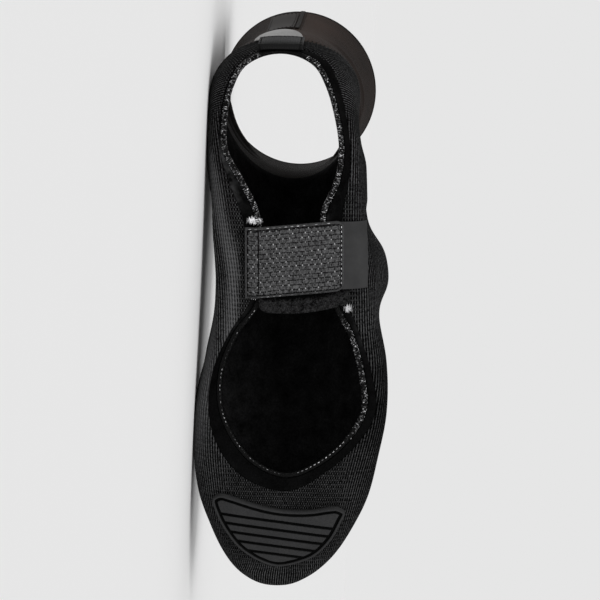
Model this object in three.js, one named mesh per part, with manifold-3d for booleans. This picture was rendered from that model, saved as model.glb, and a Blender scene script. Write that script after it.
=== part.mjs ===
// Knitted road-cycling overshoe for the right foot, empty, lying on its inner side.
// The form is worked out in the shoe's own frame, in millimetres: x runs from heel to toe,
// y from the outer to the inner side of the foot, z from the sole upwards. At the end
// the whole overshoe is laid down on the flat that its convex outline rests on.
import * as THREE from 'three'
import Module from 'manifold-3d'
import { ConvexHull } from 'three/addons/math/ConvexHull.js'
import { mergeVertices } from 'three/addons/utils/BufferGeometryUtils.js'

const wasm = await Module()
wasm.setup()

// Overall sizes of the stretched overshoe.
const shoeLength = 290
const ballWidth = 98.6
const heelWidth = 77
const ankleWidth = 71
const cuffWidth = 83
const instepHeight = 112
const ankleHeight = 71
const cuffHeight = 160

// Walls and layers.
const knitWall = 1.6
const facingWall = 1.3
const facingRecess = 0.3
const cuffWall = 1.0
const cuffRecess = 0.3
const clearance = 0.3

// The dial of the shoe inside pushes the outer side out a little.
const dialBulge = 9
const dialAt = 121
const dialHeight = 42
const dialRadius = 17

// Edge binding of the sole opening.
const bindingWidth = 3
const bindingProud = 0.4
const facingWidth = 10

// Strap across the waist of the opening.
const strapWidth = 38
const strapThickness = 1.8
const strapAt = 109
const strapSkew = 5.5
const strapInnerEnd = 19
const strapOuterEnd = -30.5
const strapCorner = 4
const strapDrop = 5
const strapDropStart = 1
const strapSlack = 0.15
const tabLength = 10.5
const tabThickness = 1.0
const tabInset = 0.75
const underStrapThickness = 1.5
const underStrapShift = 8.5
const underStrapInnerEnd = 12
const underStrapOuterEnd = -33
const underStrapBow = 2.5
const underStrapInset = 1

// Toe pad with its raised rim and diagonal grooves.
const padThickness = 2.6
const padRimWidth = 1.8
const padRimGroove = 1.1
const padGrooveDepth = 1.1
const padGrooveWidth = 1.1
const padGroovePitch = 4.7
const padGrooveCount = 5
const padGrooveSlope = 0.122
const padFirstGroove = 6.9

// Heel tab, reflective patch, cuff edge, back seam and label.
const heelTabWidth = 22.5
const heelTabHeight = 16
const heelTabThickness = 1.6
const heelTabShift = 2
const reflectorWidth = 25
const reflectorHeight = 27
const reflectorShift = 4.3
const reflectorGap = 1
const patchThickness = 0.6
const patchSlack = 0.1
const cuffEdgeHeight = 2
const cuffEdgeProud = 0.3
const backSeamWidth = 2.4
const backSeamShift = 0.4
const labelWidth = 15
const labelHeight = 42
const labelDrop = 6
const labelShift = 9.6

// Facets: how finely the solids follow the form.
const facetsAround = 36
const ringSamples = 96
const restFlat = 0.4

// Foot sections from the blunt toe tip to the instep and on round the heel. Each joins a point
// under the foot to one over it. Lengths along are shares of shoeLength, heights shares of
// instepHeight, half widths and centre lines shares of ballWidth or heelWidth. widest is where
// between under and over the section is widest, sole and crown say how square or pointed it is.
const footSections = [
  // under along, under height, over along, over height, centre, lean, half, widest, sole, crown
  [0.9935, 0.19, 0.9935, 0.19, 0.046, 0, 0, 0.5, 2.2, 2.2],
  [0.9915, 0.135, 0.9915, 0.25, 0.046, 0, 0.078, 0.5, 2.3, 2.2],
  [0.9805, 0.094, 0.9805, 0.304, 0.044, 0.005, 0.148, 0.47, 2.6, 2.2],
  [0.958, 0.065, 0.957, 0.357, 0.036, 0.01, 0.228, 0.42, 3.2, 2.2],
  [0.924, 0.045, 0.921, 0.411, 0.022, 0.02, 0.304, 0.37, 3.8, 2.15],
  [0.876, 0.027, 0.868, 0.464, 0.008, 0.03, 0.376, 0.33, 4.4, 2.1],
  [0.814, 0.012, 0.8, 0.52, -0.006, 0.045, 0.447, 0.3, 4.7, 2.0],
  [0.741, 0.002, 0.717, 0.59, -0.022, 0.06, 0.485, 0.28, 4.8, 1.95],
  [0.662, 0.0, 0.628, 0.67, -0.048, 0.07, 0.502, 0.26, 4.8, 1.85],
  [0.579, 0.013, 0.538, 0.757, -0.073, 0.075, 0.474, 0.24, 4.6, 1.77],
  [0.5, 0.036, 0.459, 0.838, -0.067, 0.07, 0.425, 0.23, 4.4, 1.72],
  [0.414, 0.058, 0.407, 0.902, -0.055, 0.06, 0.408, 0.22, 4.2, 1.72],
  [0.331, 0.058, 0.379, 0.946, -0.033, 0.045, 0.399, 0.22, 4.1, 1.76],
  [0.248, 0.036, 0.364, 0.978, -0.02, 0.035, 0.397, 0.22, 4.0, 1.8],
]
const heelSections = [
  // the same columns, with half widths as shares of heelWidth
  [0.166, 0.013, 0.355, 1.0, -0.009, 0.03, 0.51, 0.22, 3.9, 1.84],
  [0.093, 0.004, 0.348, 1.018, 0.003, 0.028, 0.5, 0.23, 3.4, 1.88],
  [0.041, 0.036, 0.343, 1.036, 0.006, 0.026, 0.495, 0.26, 2.9, 1.92],
  [0.01, 0.125, 0.339, 1.054, 0.007, 0.025, 0.49, 0.3, 2.5, 1.95],
  [0.0, 0.259, 0.336, 1.074, 0.008, 0.024, 0.486, 0.35, 2.3, 2.0],
  [0.0, 0.41, 0.333, 1.098, 0.01, 0.022, 0.478, 0.41, 2.15, 2.0],
]
// Ankle and cuff sections. Heights are shares of the way from ankleHeight to cuffHeight,
// and half widths shares of the way from ankleWidth to cuffWidth.
const cuffSections = [
  // under along, under rise, over along, over rise, centre, lean, flare, widest
  [0.006, -0.09, 0.331, 0.62, 0.013, 0.019, 0.08, 0.46],
  [0.019, 0.1, 0.33, 0.67, 0.016, 0.015, 0.0, 0.48],
  [0.032, 0.28, 0.331, 0.73, 0.019, 0.011, 0.08, 0.49],
  [0.04, 0.46, 0.333, 0.79, 0.021, 0.008, 0.24, 0.5],
  [0.044, 0.64, 0.336, 0.86, 0.023, 0.005, 0.48, 0.5],
  [0.0445, 0.82, 0.339, 0.93, 0.025, 0.002, 0.74, 0.5],
  [0.045, 1.0, 0.342, 1.0, 0.027, 0, 1.0, 0.5],
]
const columns = ['underX', 'underZ', 'overX', 'overZ', 'centre', 'lean', 'half', 'widest', 'sole', 'crown']

// The sole opening and the facing round it, seen flat: a row for each station along the sole.
// Stations are shares of shoeLength from the heel, edges shares of ballWidth from the middle,
// and how wide the facing is on each side a share of facingWidth.
const openingTable = [
  // along, inner edge, outer edge, inner facing, outer facing
  [0.014, 0.188, -0.157, 0.42, 0.75],
  [0.055, 0.254, -0.228, 0.4, 0.8],
  [0.11, 0.286, -0.274, 0.42, 0.7],
  [0.172, 0.284, -0.294, 0.45, 0.65],
  [0.228, 0.203, -0.269, 0.8, 0.75],
  [0.29, 0.122, -0.198, 0.9, 1.1],
  [0.372, 0.105, -0.2, 0.8, 1.0],
  [0.455, 0.112, -0.254, 0.55, 0.75],
  [0.517, 0.233, -0.345, 0.42, 0.55],
  [0.586, 0.309, -0.4, 0.6, 0.65],
  [0.648, 0.306, -0.41, 0.85, 0.78],
  [0.703, 0.238, -0.315, 1.1, 0.7],
  [0.745, 0.132, -0.172, 1.15, 0.75],
]
const openingBack = [-0.012, 0.014, 0.5]
const openingFront = [0.766, -0.02, 1.0]

// The toe pad's outline, seen flat, from its inner to its outer corner: points of its back
// edge and of its front edge, along as shares of shoeLength and across as shares of ballWidth.
const padTable = [
  // back along, back across, front along, front across
  [0.8085, 0.322, 0.847, 0.344],
  [0.8125, 0.262, 0.883, 0.292],
  [0.821, 0.183, 0.914, 0.223],
  [0.829, 0.101, 0.938, 0.122],
  [0.834, 0.02, 0.948, 0.03],
  [0.836, -0.071, 0.941, -0.071],
  [0.834, -0.162, 0.924, -0.172],
  [0.829, -0.243, 0.893, -0.254],
  [0.8285, -0.288, 0.858, -0.307],
]
const padInner = [0.8185, 0.363]
const padOuter = [0.838, -0.328]

// Reads the three tables into one list of sections in millimetres.
function sections() {
  const named = (row, half) => ({
    underX: row[0] * shoeLength, underZ: row[1] * instepHeight,
    overX: row[2] * shoeLength, overZ: row[3] * instepHeight,
    centre: row[4] * ballWidth, lean: row[5] * ballWidth, half,
    widest: row[7], sole: row[8], crown: row[9],
  })
  const rise = (share) => ankleHeight + share * (cuffHeight - ankleHeight)
  return [
    ...footSections.map((row) => named(row, row[6] * ballWidth)),
    ...heelSections.map((row) => named(row, row[6] * heelWidth)),
    ...cuffSections.map((row) => ({
      underX: row[0] * shoeLength, underZ: rise(row[1]),
      overX: row[2] * shoeLength, overZ: rise(row[3]),
      centre: row[4] * ballWidth, lean: row[5] * ballWidth,
      half: (ankleWidth + row[6] * (cuffWidth - ankleWidth)) / 2,
      widest: row[7], sole: 2.0, crown: 2.0,
    })),
  ]
}
const table = sections()
const lastRow = table.length - 1
const heelRow = footSections.length + 2
const seamRow = footSections.length + 4.15

// A section between the rows, by a smooth curve through them. Past the toe tip the curve
// goes on into a mirrored section, so that the tip is round.
function sectionAt(row) {
  const at = Math.min(Math.max(row, 0), lastRow)
  const i = Math.min(Math.floor(at), lastRow - 1)
  const f = at - i
  const tip = table[1]
  const beforeTip = {
    ...tip, half: -tip.half, underX: tip.overX, underZ: tip.overZ, overX: tip.underX, overZ: tip.underZ,
  }
  const end = table[lastRow]
  const afterEnd = Object.fromEntries(columns.map((c) => [c, 2 * end[c] - table[lastRow - 1][c]]))
  const pick = (k) => (k < 0 ? beforeTip : k > lastRow ? afterEnd : table[k])
  const [a, b, c, d] = [pick(i - 1), pick(i), pick(i + 1), pick(i + 2)]
  const weights = [
    ((2 - f) * f - 1) * f / 2, ((3 * f - 5) * f * f + 2) / 2,
    ((4 - 3 * f) * f + 1) * f / 2, ((f - 1) * f * f) / 2,
  ]
  const blend = (key) =>
    a[key] * weights[0] + b[key] * weights[1] + c[key] * weights[2] + d[key] * weights[3]
  return Object.fromEntries(columns.map((key) => [key, blend(key)]))
}

// Half a section as a fine line from under the foot to over it, with its running length.
// The lower part is a superellipse of exponent sole, the upper part one of exponent crown.
const halfSections = new Map()
function halfSection(row, side) {
  const key = `${row.toFixed(6)} ${side}`
  if (halfSections.has(key)) return halfSections.get(key)
  const s = sectionAt(row)
  const points = []
  const lengths = [0]
  for (let i = 0; i <= ringSamples; i++) {
    const angle = (Math.PI * i) / ringSamples
    const power = 2 / (i * 2 < ringSamples ? s.sole : s.crown)
    const rise = Math.abs(Math.cos(angle)) ** power
    const share = i * 2 < ringSamples ? s.widest * (1 - rise) : s.widest + (1 - s.widest) * rise
    const out = s.half * Math.max(Math.sin(angle), 0) ** power
    const point = new THREE.Vector3(
      s.underX + (s.overX - s.underX) * share,
      s.centre + s.lean * share + side * out,
      s.underZ + (s.overZ - s.underZ) * share,
    )
    if (i) lengths.push(lengths[i - 1] + point.distanceTo(points[i - 1]))
    points.push(point)
  }
  const made = { points, lengths, total: lengths[ringSamples] }
  halfSections.set(key, made)
  return made
}

// The point of the form on a section, across millimetres from the middle of its underside.
function formPoint(row, across) {
  const { points, lengths, total } = halfSection(row, across < 0 ? -1 : 1)
  const wanted = Math.min(Math.abs(across), total)
  let i = 1
  while (i < ringSamples && lengths[i] < wanted) i++
  const step = lengths[i] - lengths[i - 1]
  const p = points[i - 1].clone().lerp(points[i], step > 0 ? (wanted - lengths[i - 1]) / step : 0)
  const reach = Math.hypot(p.x - dialAt, p.z - dialHeight) / dialRadius
  if (across < 0) p.y -= dialBulge / (1 + reach ** 4)
  return p
}

// The form's outward direction there, from its slopes along and across.
function formNormal(row, across) {
  const step = 0.04
  const span = 0.4
  const along = formPoint(row + step, across).sub(formPoint(row - step, across))
  const around = formPoint(row, across + span).sub(formPoint(row, across - span))
  return along.cross(around).normalize()
}

// Lengths along the middle of the underside, counted like x from the heel, for any section.
const profileStep = 0.02
const profile = []
for (let row = 0; row <= lastRow + 1e-9; row += profileStep) {
  const { underX, underZ } = sectionAt(row)
  const before = profile.at(-1)
  const run = before ? Math.hypot(underX - before.x, underZ - before.z) : 0
  profile.push({ row, x: underX, z: underZ, run: (before?.run ?? 0) + run })
}
const datum = profile[Math.round(heelRow / profileStep)]
profile.forEach((p) => { p.along = datum.x + datum.run - p.run })

function rowAt(along) {
  const i = Math.max(profile.findIndex((p) => p.along <= along), 1)
  const [a, b] = [profile[i - 1], profile[i]]
  return a.row + ((b.row - a.row) * (a.along - along)) / (a.along - b.along)
}
function alongAt(row) {
  return profile[Math.round(row / profileStep)].along
}

// A point of the pattern, along and across the underside, laid on the form and lifted off it.
function wrapped(along, across, lift) {
  const row = rowAt(along)
  const fromMiddle = across - sectionAt(row).centre
  return formPoint(row, fromMiddle).addScaledVector(formNormal(row, fromMiddle), lift)
}

// A closed solid from vertex positions and triangles, with equal vertices made one.
function solidFrom(points, triangles) {
  const geometry = new THREE.BufferGeometry()
  geometry.setAttribute('position', new THREE.Float32BufferAttribute(points.flatMap((p) => p.toArray()), 3))
  geometry.setIndex(triangles.flat())
  return solidOf(geometry)
}
function solidOf(geometry) {
  for (const name of Object.keys(geometry.attributes)) {
    if (name !== 'position') geometry.deleteAttribute(name)
  }
  const merged = mergeVertices(geometry, 1e-4)
  const index = merged.index.array
  const triangles = []
  for (let i = 0; i < index.length; i += 3) {
    const [a, b, c] = [index[i], index[i + 1], index[i + 2]]
    if (a !== b && b !== c && c !== a) triangles.push(a, b, c)
  }
  return new wasm.Manifold(new wasm.Mesh({
    numProp: 3,
    vertProperties: new Float32Array(merged.attributes.position.array),
    triVerts: new Uint32Array(triangles),
  }))
}

// Joins two equal grids of points, the high side and the low side, into a closed slab.
// A grid whose lines are rings is closed round, and a grid can shrink to a point at an end.
function slabOf(high, low, closedRound) {
  const rows = high.length
  const cols = high[0].length
  const points = [...high.flat(), ...low.flat()]
  const at = (i, j, side) => side * rows * cols + i * cols + (j % cols)
  const triangles = []
  const quad = (a, b, c, d) => triangles.push([a, b, c], [a, c, d])
  const lastCol = closedRound ? cols : cols - 1
  for (let i = 0; i < rows - 1; i++) {
    for (let j = 0; j < lastCol; j++) {
      quad(at(i, j, 0), at(i, j + 1, 0), at(i + 1, j + 1, 0), at(i + 1, j, 0))
      quad(at(i, j, 1), at(i + 1, j, 1), at(i + 1, j + 1, 1), at(i, j + 1, 1))
    }
  }
  for (let j = 0; j < lastCol; j++) {
    quad(at(0, j, 0), at(0, j, 1), at(0, j + 1, 1), at(0, j + 1, 0))
    quad(at(rows - 1, j, 0), at(rows - 1, j + 1, 0), at(rows - 1, j + 1, 1), at(rows - 1, j, 1))
  }
  if (!closedRound) {
    for (let i = 0; i < rows - 1; i++) {
      quad(at(i, 0, 0), at(i + 1, 0, 0), at(i + 1, 0, 1), at(i, 0, 1))
      quad(at(i, lastCol, 0), at(i, lastCol, 1), at(i + 1, lastCol, 1), at(i + 1, lastCol, 0))
    }
  }
  return solidFrom(points, triangles)
}

// A shell that follows the whole form between two rows, high and low millimetres off it.
function shell(rows, high, low) {
  const lift = (amount) => rows.map((row) => {
    const sides = [1, -1].map((side) => halfSection(row, side).total * side)
    const ring = []
    for (let j = 0; j < facetsAround; j++) {
      const share = (2 * j) / facetsAround
      const across = share <= 1 ? share * sides[1] : (2 - share) * sides[0]
      const tip = row === 0
      const normal = tip ? new THREE.Vector3(1, 0, 0) : shellNormal(row, across, sides)
      ring.push(formPoint(row, across).addScaledVector(normal, amount))
    }
    return ring
  })
  return slabOf(lift(high), lift(low), true)
}
// At the top of a section the two halves meet, so the slope across is taken on both.
function shellNormal(row, across, sides) {
  const edge = 0.5
  if (Math.abs(across) < sides[0] - edge && Math.abs(across) < -sides[1] - edge) return formNormal(row, across)
  const step = 0.04
  const along = formPoint(row + step, across).sub(formPoint(row - step, across))
  const [inner, outer] = [formPoint(row, sides[0] - edge), formPoint(row, sides[1] + edge)]
  return along.cross(outer.sub(inner)).normalize()
}

// A slab of the pattern on the form: stations are lines from one edge of it to the other.
function patch(stations, steps, high, low) {
  const lift = (amount) => stations.map(([from, to]) => {
    const line = []
    for (let j = 0; j <= steps; j++) {
      const spot = from.clone().lerp(to, j / steps)
      line.push(wrapped(spot.x, spot.y, typeof amount === 'function' ? amount(spot) : amount))
    }
    return line
  })
  return slabOf(lift(high), lift(low), false)
}

// A box for cutting, lined up with a direction from its base outwards.
function cuttingBox(base, direction, size) {
  const geometry = new THREE.BoxGeometry(size, size, size)
  const turn = new THREE.Quaternion().setFromUnitVectors(new THREE.Vector3(0, 0, 1), direction)
  geometry.translate(0, 0, size / 2).applyQuaternion(turn).translate(...base.toArray())
  return solidOf(geometry)
}

// A closed outline of the pattern as a smooth curve: its start, one way round to its end, and
// the other way back. A third number of a point is the width of the band that goes with it.
function outlineFrom(start, oneWay, end, otherWay) {
  const points = [start, ...oneWay, end, ...otherWay.reverse()]
  const scaled = points.map(([along, side, band = 0]) =>
    new THREE.Vector3(along * shoeLength, side * ballWidth, band * facingWidth))
  return new THREE.CatmullRomCurve3(scaled, true, 'centripetal')
}
// A point of an outline, moved outwards by so many millimetres and by a share of its band.
function grownPoint(outline, t, growth, bandShare = 0) {
  const step = 1e-3
  const tangent = outline.getPoint((t + step) % 1).sub(outline.getPoint((t - step + 1) % 1))
  const length = Math.hypot(tangent.x, tangent.y)
  const point = outline.getPoint(t % 1)
  const move = (growth + bandShare * point.z) / length
  return new THREE.Vector3(point.x - tangent.y * move, point.y + tangent.x * move, 0)
}
// Lines across the outline, from the way back to the way out.
function stationsOf(outline, steps, growth, bandShare) {
  return Array.from({ length: steps + 1 }, (_, k) => {
    const t = k / (2 * steps)
    return [grownPoint(outline, 1 - t, growth, bandShare), grownPoint(outline, t, growth, bandShare)]
  })
}
// A band that runs round the outline between two growths, the wider one first.
function bandPatch(outline, steps, wide, narrow, high, low) {
  const across = 2
  const lift = (amount) => Array.from({ length: across + 1 }, (_, i) =>
    Array.from({ length: 2 * steps }, (_, k) => {
      const t = k / (2 * steps)
      const spot = grownPoint(outline, t, ...wide).lerp(grownPoint(outline, t, ...narrow), i / across)
      return wrapped(spot.x, spot.y, amount)
    }))
  return slabOf(lift(high), lift(low), true)
}

// Upper: knitted in one piece from toe to ankle, with its underside, and cut out for the facing.
const cutHigh = 2
const cutUnder = 1.6
const cutDeep = knitWall + cutUnder
const seam = sectionAt(seamRow)
const seamBase = new THREE.Vector3(seam.underX, 0, seam.underZ)
const seamUp = new THREE.Vector3(seam.underZ - seam.overZ, 0, seam.overX - seam.underX).normalize()
const cutSize = 2 * shoeLength
const aboveSeam = (gap) => cuttingBox(seamBase.clone().addScaledVector(seamUp, gap), seamUp, cutSize)
const belowSeam = (gap) =>
  cuttingBox(seamBase.clone().addScaledVector(seamUp, gap), seamUp.clone().negate(), cutSize)

function rowList(from, to, step) {
  const count = Math.max(Math.round((to - from) / step), 1)
  return Array.from({ length: count + 1 }, (_, i) => from + ((to - from) * i) / count)
}
const opening = outlineFrom(
  openingBack, openingTable.map(([along, inner, , band]) => [along, inner, band]),
  openingFront, openingTable.map(([along, , outer, , band]) => [along, outer, band]),
)
const openingSteps = 32
const holeSteps = 10
const ballRow = 9
const instepRow = footSections.length

function makeUpper() {
  const toeRows = rowList(0, 5, 5 / 8)
  const footRows = [...rowList(5, ballRow, 1).slice(1), ...rowList(ballRow, instepRow, 0.5).slice(1)]
  const heelRows = rowList(instepRow, Math.ceil(seamRow), 0.6).slice(1)
  const body = shell([...toeRows, ...footRows, ...heelRows], 0, -knitWall)
  const hole = patch(stationsOf(opening, openingSteps, clearance, 1), holeSteps, cutHigh, -cutDeep)
  return body.subtract(hole).subtract(aboveSeam(-clearance / 2))
}

// Facing: a smooth band sewn round the opening, a little below the knit.
function makeFacing() {
  const [wide, narrow] = [[-clearance / 2, 1], [bindingWidth + clearance / 2, 0]]
  return bandPatch(opening, openingSteps, wide, narrow, -facingRecess, -facingRecess - facingWall)
}

// Binding: the stitched edge of the opening, a little proud of the facing on both faces.
const bindingTop = bindingProud - facingRecess
function makeBinding() {
  const low = -facingRecess - facingWall - bindingProud
  return bandPatch(opening, openingSteps, [bindingWidth - clearance / 2, 0], [0, 0], bindingTop, low)
}

// The strap leans, so its middle moves along the sole as it goes across.
const strapMiddle = (across) => strapAt + (strapSkew * across) / (strapInnerEnd - strapOuterEnd)
function strapLine(across, middle, halfWidth) {
  return [new THREE.Vector3(middle - halfWidth, across, 0), new THREE.Vector3(middle + halfWidth, across, 0)]
}
// How much a round corner takes off a strap's half width near one of its ends.
function cornerLoss(distance, radius) {
  const missing = Math.max(radius - distance, 0)
  return radius - Math.sqrt(Math.max(radius ** 2 - missing ** 2, 0))
}

// Over the lower strap the upper one lies a layer higher; at its sewn end it drops on the facing.
const lowerLift = Math.max(bindingTop, 0) + clearance + strapSlack
const upperLift = lowerLift + underStrapThickness + clearance
function strapLift(across) {
  const past = underStrapInnerEnd + strapDropStart + strapDrop - across
  return lowerLift + (upperLift - lowerLift) * THREE.MathUtils.smoothstep(past / strapDrop, 0, 1)
}

function makeStrap() {
  const stations = []
  const steps = 18
  for (let i = 0; i <= steps; i++) {
    const across = strapInnerEnd + ((strapOuterEnd - strapInnerEnd) * i) / steps
    const loss = cornerLoss(across - strapOuterEnd, strapCorner)
    stations.push(strapLine(across, strapMiddle(across), strapWidth / 2 - loss))
  }
  const low = (spot) => strapLift(spot.y)
  return patch(stations, 4, (spot) => low(spot) + strapThickness, low)
}

// Pull tab at the strap's free end, thinner and square.
function makeStrapTab() {
  const start = strapOuterEnd - clearance
  const stations = []
  for (let i = 0; i <= 4; i++) {
    const across = start - (tabLength * i) / 4
    stations.push(strapLine(across, strapMiddle(strapOuterEnd), strapWidth / 2 - tabInset))
  }
  const low = upperLift + (strapThickness - tabThickness) / 2
  return patch(stations, 4, low + tabThickness, low)
}

// Lower strap: sewn to the outer side, it carries the loops that the upper strap grips.
function makeUnderStrap() {
  const stations = []
  const steps = 10
  const halfWidth = strapWidth / 2 - underStrapInset
  for (let i = 0; i <= steps; i++) {
    const across = underStrapInnerEnd + ((underStrapOuterEnd - underStrapInnerEnd) * i) / steps
    const loss = cornerLoss(underStrapInnerEnd - across, strapCorner)
    const line = strapLine(across, strapMiddle(across) + underStrapShift, halfWidth - loss)
    line[1].x += underStrapBow * Math.sin((Math.PI * i) / steps)
    stations.push(line)
  }
  return patch(stations, 4, lowerLift + underStrapThickness, lowerLift)
}

// Toe pad: a moulded rubber piece with a raised rim, a groove inside it, and diagonal grooves.
const padOutline = outlineFrom(
  padInner, padTable.map(([, , along, across]) => [along, across]),
  padOuter, padTable.map(([along, across]) => [along, across]),
)
const padSteps = 16
function makePad() {
  const top = clearance + padThickness
  const grooveFloor = top - padGrooveDepth
  const land = padRimWidth + padRimGroove
  const moat = bandPatch(padOutline, padSteps, [-padRimWidth, 0], [-land, 0], top + 1, grooveFloor)
  const inside = patch(stationsOf(padOutline, padSteps, -land), 2, top + 2, 0)
  let pad = patch(stationsOf(padOutline, padSteps, 0), 5, top, clearance).subtract(moat)
  const first = padTable[4][0] * shoeLength + padFirstGroove
  const half = (padInner[1] - padOuter[1]) * ballWidth / 2
  const middle = (padInner[1] + padOuter[1]) * ballWidth / 2
  for (let i = 0; i < padGrooveCount; i++) {
    const stations = []
    for (let k = 0; k <= 6; k++) {
      const across = middle + half * (1 - k / 3)
      const along = first + i * padGroovePitch - across * padGrooveSlope
      stations.push([
        new THREE.Vector3(along - padGrooveWidth / 2, across, 0),
        new THREE.Vector3(along + padGrooveWidth / 2, across, 0),
      ])
    }
    pad = pad.subtract(patch(stations, 1, top + 1, grooveFloor).intersect(inside))
  }
  return pad
}

// Heel tab: webbing sewn up the back of the heel from the edge of the opening.
const tabStart = openingBack[0] * shoeLength - bindingProud
function makeHeelTab() {
  const stations = []
  for (let i = 0; i <= 6; i++) {
    const along = tabStart - (heelTabHeight * i) / 6
    stations.push([
      new THREE.Vector3(along, heelTabShift + heelTabWidth / 2, 0),
      new THREE.Vector3(along, heelTabShift - heelTabWidth / 2, 0),
    ])
  }
  return patch(stations, 6, lowerLift + heelTabThickness, lowerLift)
}

// Cuff: smooth stretch fabric, sewn on above the ankle, with a bonded edge at its mouth.
const rimBase = new THREE.Vector3(0, 0, cuffHeight - cuffEdgeHeight)
const upwards = new THREE.Vector3(0, 0, 1)
const edgeRow = rowAt(alongAt(lastRow) + 2 * cuffEdgeHeight)
function makeCuff() {
  const above = cuttingBox(rimBase.clone().addScaledVector(upwards, -clearance / 2), upwards, cutSize)
  const rows = rowList(Math.floor(seamRow), lastRow, 0.8)
  return shell(rows, -cuffRecess, -cuffRecess - cuffWall).subtract(belowSeam(clearance / 2)).subtract(above)
}
function makeCuffEdge() {
  const down = upwards.clone().negate()
  const below = cuttingBox(rimBase.clone().addScaledVector(upwards, clearance / 2), down, cutSize)
  const high = cuffEdgeProud - cuffRecess
  return shell([edgeRow, lastRow], high, -cuffRecess - cuffWall - cuffEdgeProud).subtract(below)
}

// Patches on the back of the cuff: reflective arch above the seam, label, and seam tape.
const patchLow = clearance + patchSlack - cuffRecess
const seamAlong = alongAt(seamRow)
function makeReflector() {
  const stations = []
  const steps = 10
  for (let i = 0; i <= steps; i++) {
    const turn = (Math.PI / 2) * (i / steps)
    const width = (reflectorWidth / 2) * Math.cos(turn)
    const along = seamAlong - reflectorGap - reflectorHeight * Math.sin(turn)
    stations.push([
      new THREE.Vector3(along, reflectorShift + width, 0),
      new THREE.Vector3(along, reflectorShift - width, 0),
    ])
  }
  return patch(stations, 6, patchLow + patchThickness, patchLow)
}
function backPatch(top, height, middle, width, rows, cols, low) {
  const stations = []
  for (let i = 0; i <= rows; i++) {
    const along = top + height - (height * i) / rows
    stations.push([
      new THREE.Vector3(along, middle + width / 2, 0),
      new THREE.Vector3(along, middle - width / 2, 0),
    ])
  }
  return patch(stations, cols, low + patchThickness, low)
}
const rimAlong = alongAt(lastRow)
const labelTop = rimAlong + cuffEdgeHeight + labelDrop
const makeLabel = () => backPatch(labelTop, labelHeight, labelShift, labelWidth, 6, 4, patchLow)
const makeBackSeam = () => {
  const top = rimAlong + cuffEdgeHeight + clearance
  const height = labelTop + labelHeight + clearance - top
  return backPatch(top, height, backSeamShift, backSeamWidth, 8, 1, patchLow)
}

// Materials of the pieces.
const material = (color, roughness) => new THREE.MeshStandardMaterial({ color, roughness, metalness: 0 })
const knit = material(0x1c1c1d, 0.85)
const smoothBlack = material(0x0b0b0c, 0.6)
const stitchedEdge = material(0x161617, 0.45)
const hookWeave = material(0x303030, 0.8)
const tabFilm = material(0x3a3a3b, 0.5)
const loopPile = material(0x19191a, 0.95)
const rubber = material(0x2a2a2b, 0.7)
const webbing = material(0x2c2c2d, 0.7)
const reflective = material(0x7f8082, 0.4)
const cuffFabric = material(0x2a2625, 0.55)
const edgeFilm = material(0x121212, 0.5)

const pieces = [
  ['upper', makeUpper(), knit],
  ['sole_facing', makeFacing(), smoothBlack],
  ['opening_binding', makeBinding(), stitchedEdge],
  ['strap', makeStrap(), hookWeave],
  ['strap_tab', makeStrapTab(), tabFilm],
  ['strap_under', makeUnderStrap(), loopPile],
  ['toe_pad', makePad(), rubber],
  ['heel_tab', makeHeelTab(), webbing],
  ['cuff', makeCuff(), cuffFabric],
  ['cuff_edge', makeCuffEdge(), edgeFilm],
  ['heel_reflector', makeReflector(), reflective],
  ['cuff_label', makeLabel(), edgeFilm],
  ['cuff_back_seam', makeBackSeam(), edgeFilm],
]

// The points of a solid, and its middle weighted by volume.
function cornersOf(solid) {
  const { vertProperties: v, numProp: n } = solid.getMesh()
  const corners = []
  for (let i = 0; i < v.length; i += n) corners.push(new THREE.Vector3(v[i], v[i + 1], v[i + 2]))
  return corners
}
function momentOf(solid) {
  const corners = cornersOf(solid)
  const { triVerts } = solid.getMesh()
  const moment = new THREE.Vector3()
  let volume = 0
  for (let i = 0; i < triVerts.length; i += 3) {
    const [a, b, c] = [corners[triVerts[i]], corners[triVerts[i + 1]], corners[triVerts[i + 2]]]
    const part = a.dot(b.clone().cross(c)) / 6
    moment.addScaledVector(a.clone().add(b).add(c), part / 4)
    volume += part
  }
  return { moment, volume }
}

// Rolls the overshoe onto its inner side until the hull face below its middle stays the same.
function restingFace() {
  const moment = new THREE.Vector3()
  let volume = 0
  for (const [, solid] of pieces) {
    const part = momentOf(solid)
    moment.add(part.moment)
    volume += part.volume
  }
  const middle = moment.divideScalar(volume)
  const hull = new ConvexHull().setFromPoints(pieces.flatMap(([, solid]) => cornersOf(solid)))
  let down = new THREE.Vector3(0, 1, 0)
  let face
  for (let turn = 0; turn < 12; turn++) {
    const reach = (f) => (f.constant - f.normal.dot(middle)) / f.normal.dot(down)
    const below = hull.faces.filter((f) => f.normal.dot(down) > 0.1)
    const hit = below.reduce((best, f) => (reach(f) < reach(best) ? f : best))
    if (hit === face) break
    face = hit
    down = face.normal.clone()
  }
  return { down, floor: face.constant }
}

// The soft wall is pressed flat where it touches the floor.
const { down, floor } = restingFace()
const floorBase = down.clone().multiplyScalar(floor - restFlat)
const underFloor = cuttingBox(floorBase, down, cutSize)
const overshoe = new THREE.Group()
for (const [name, solid, finish] of pieces) {
  const pressed = solid.subtract(underFloor)
  const { vertProperties, triVerts } = pressed.getMesh()
  const geometry = new THREE.BufferGeometry()
  geometry.setAttribute('position', new THREE.BufferAttribute(new Float32Array(vertProperties), 3))
  geometry.setIndex(new THREE.BufferAttribute(new Uint32Array(triVerts), 1))
  geometry.computeVertexNormals()
  const mesh = new THREE.Mesh(geometry, finish)
  mesh.name = name
  overshoe.add(mesh)
}

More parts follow.
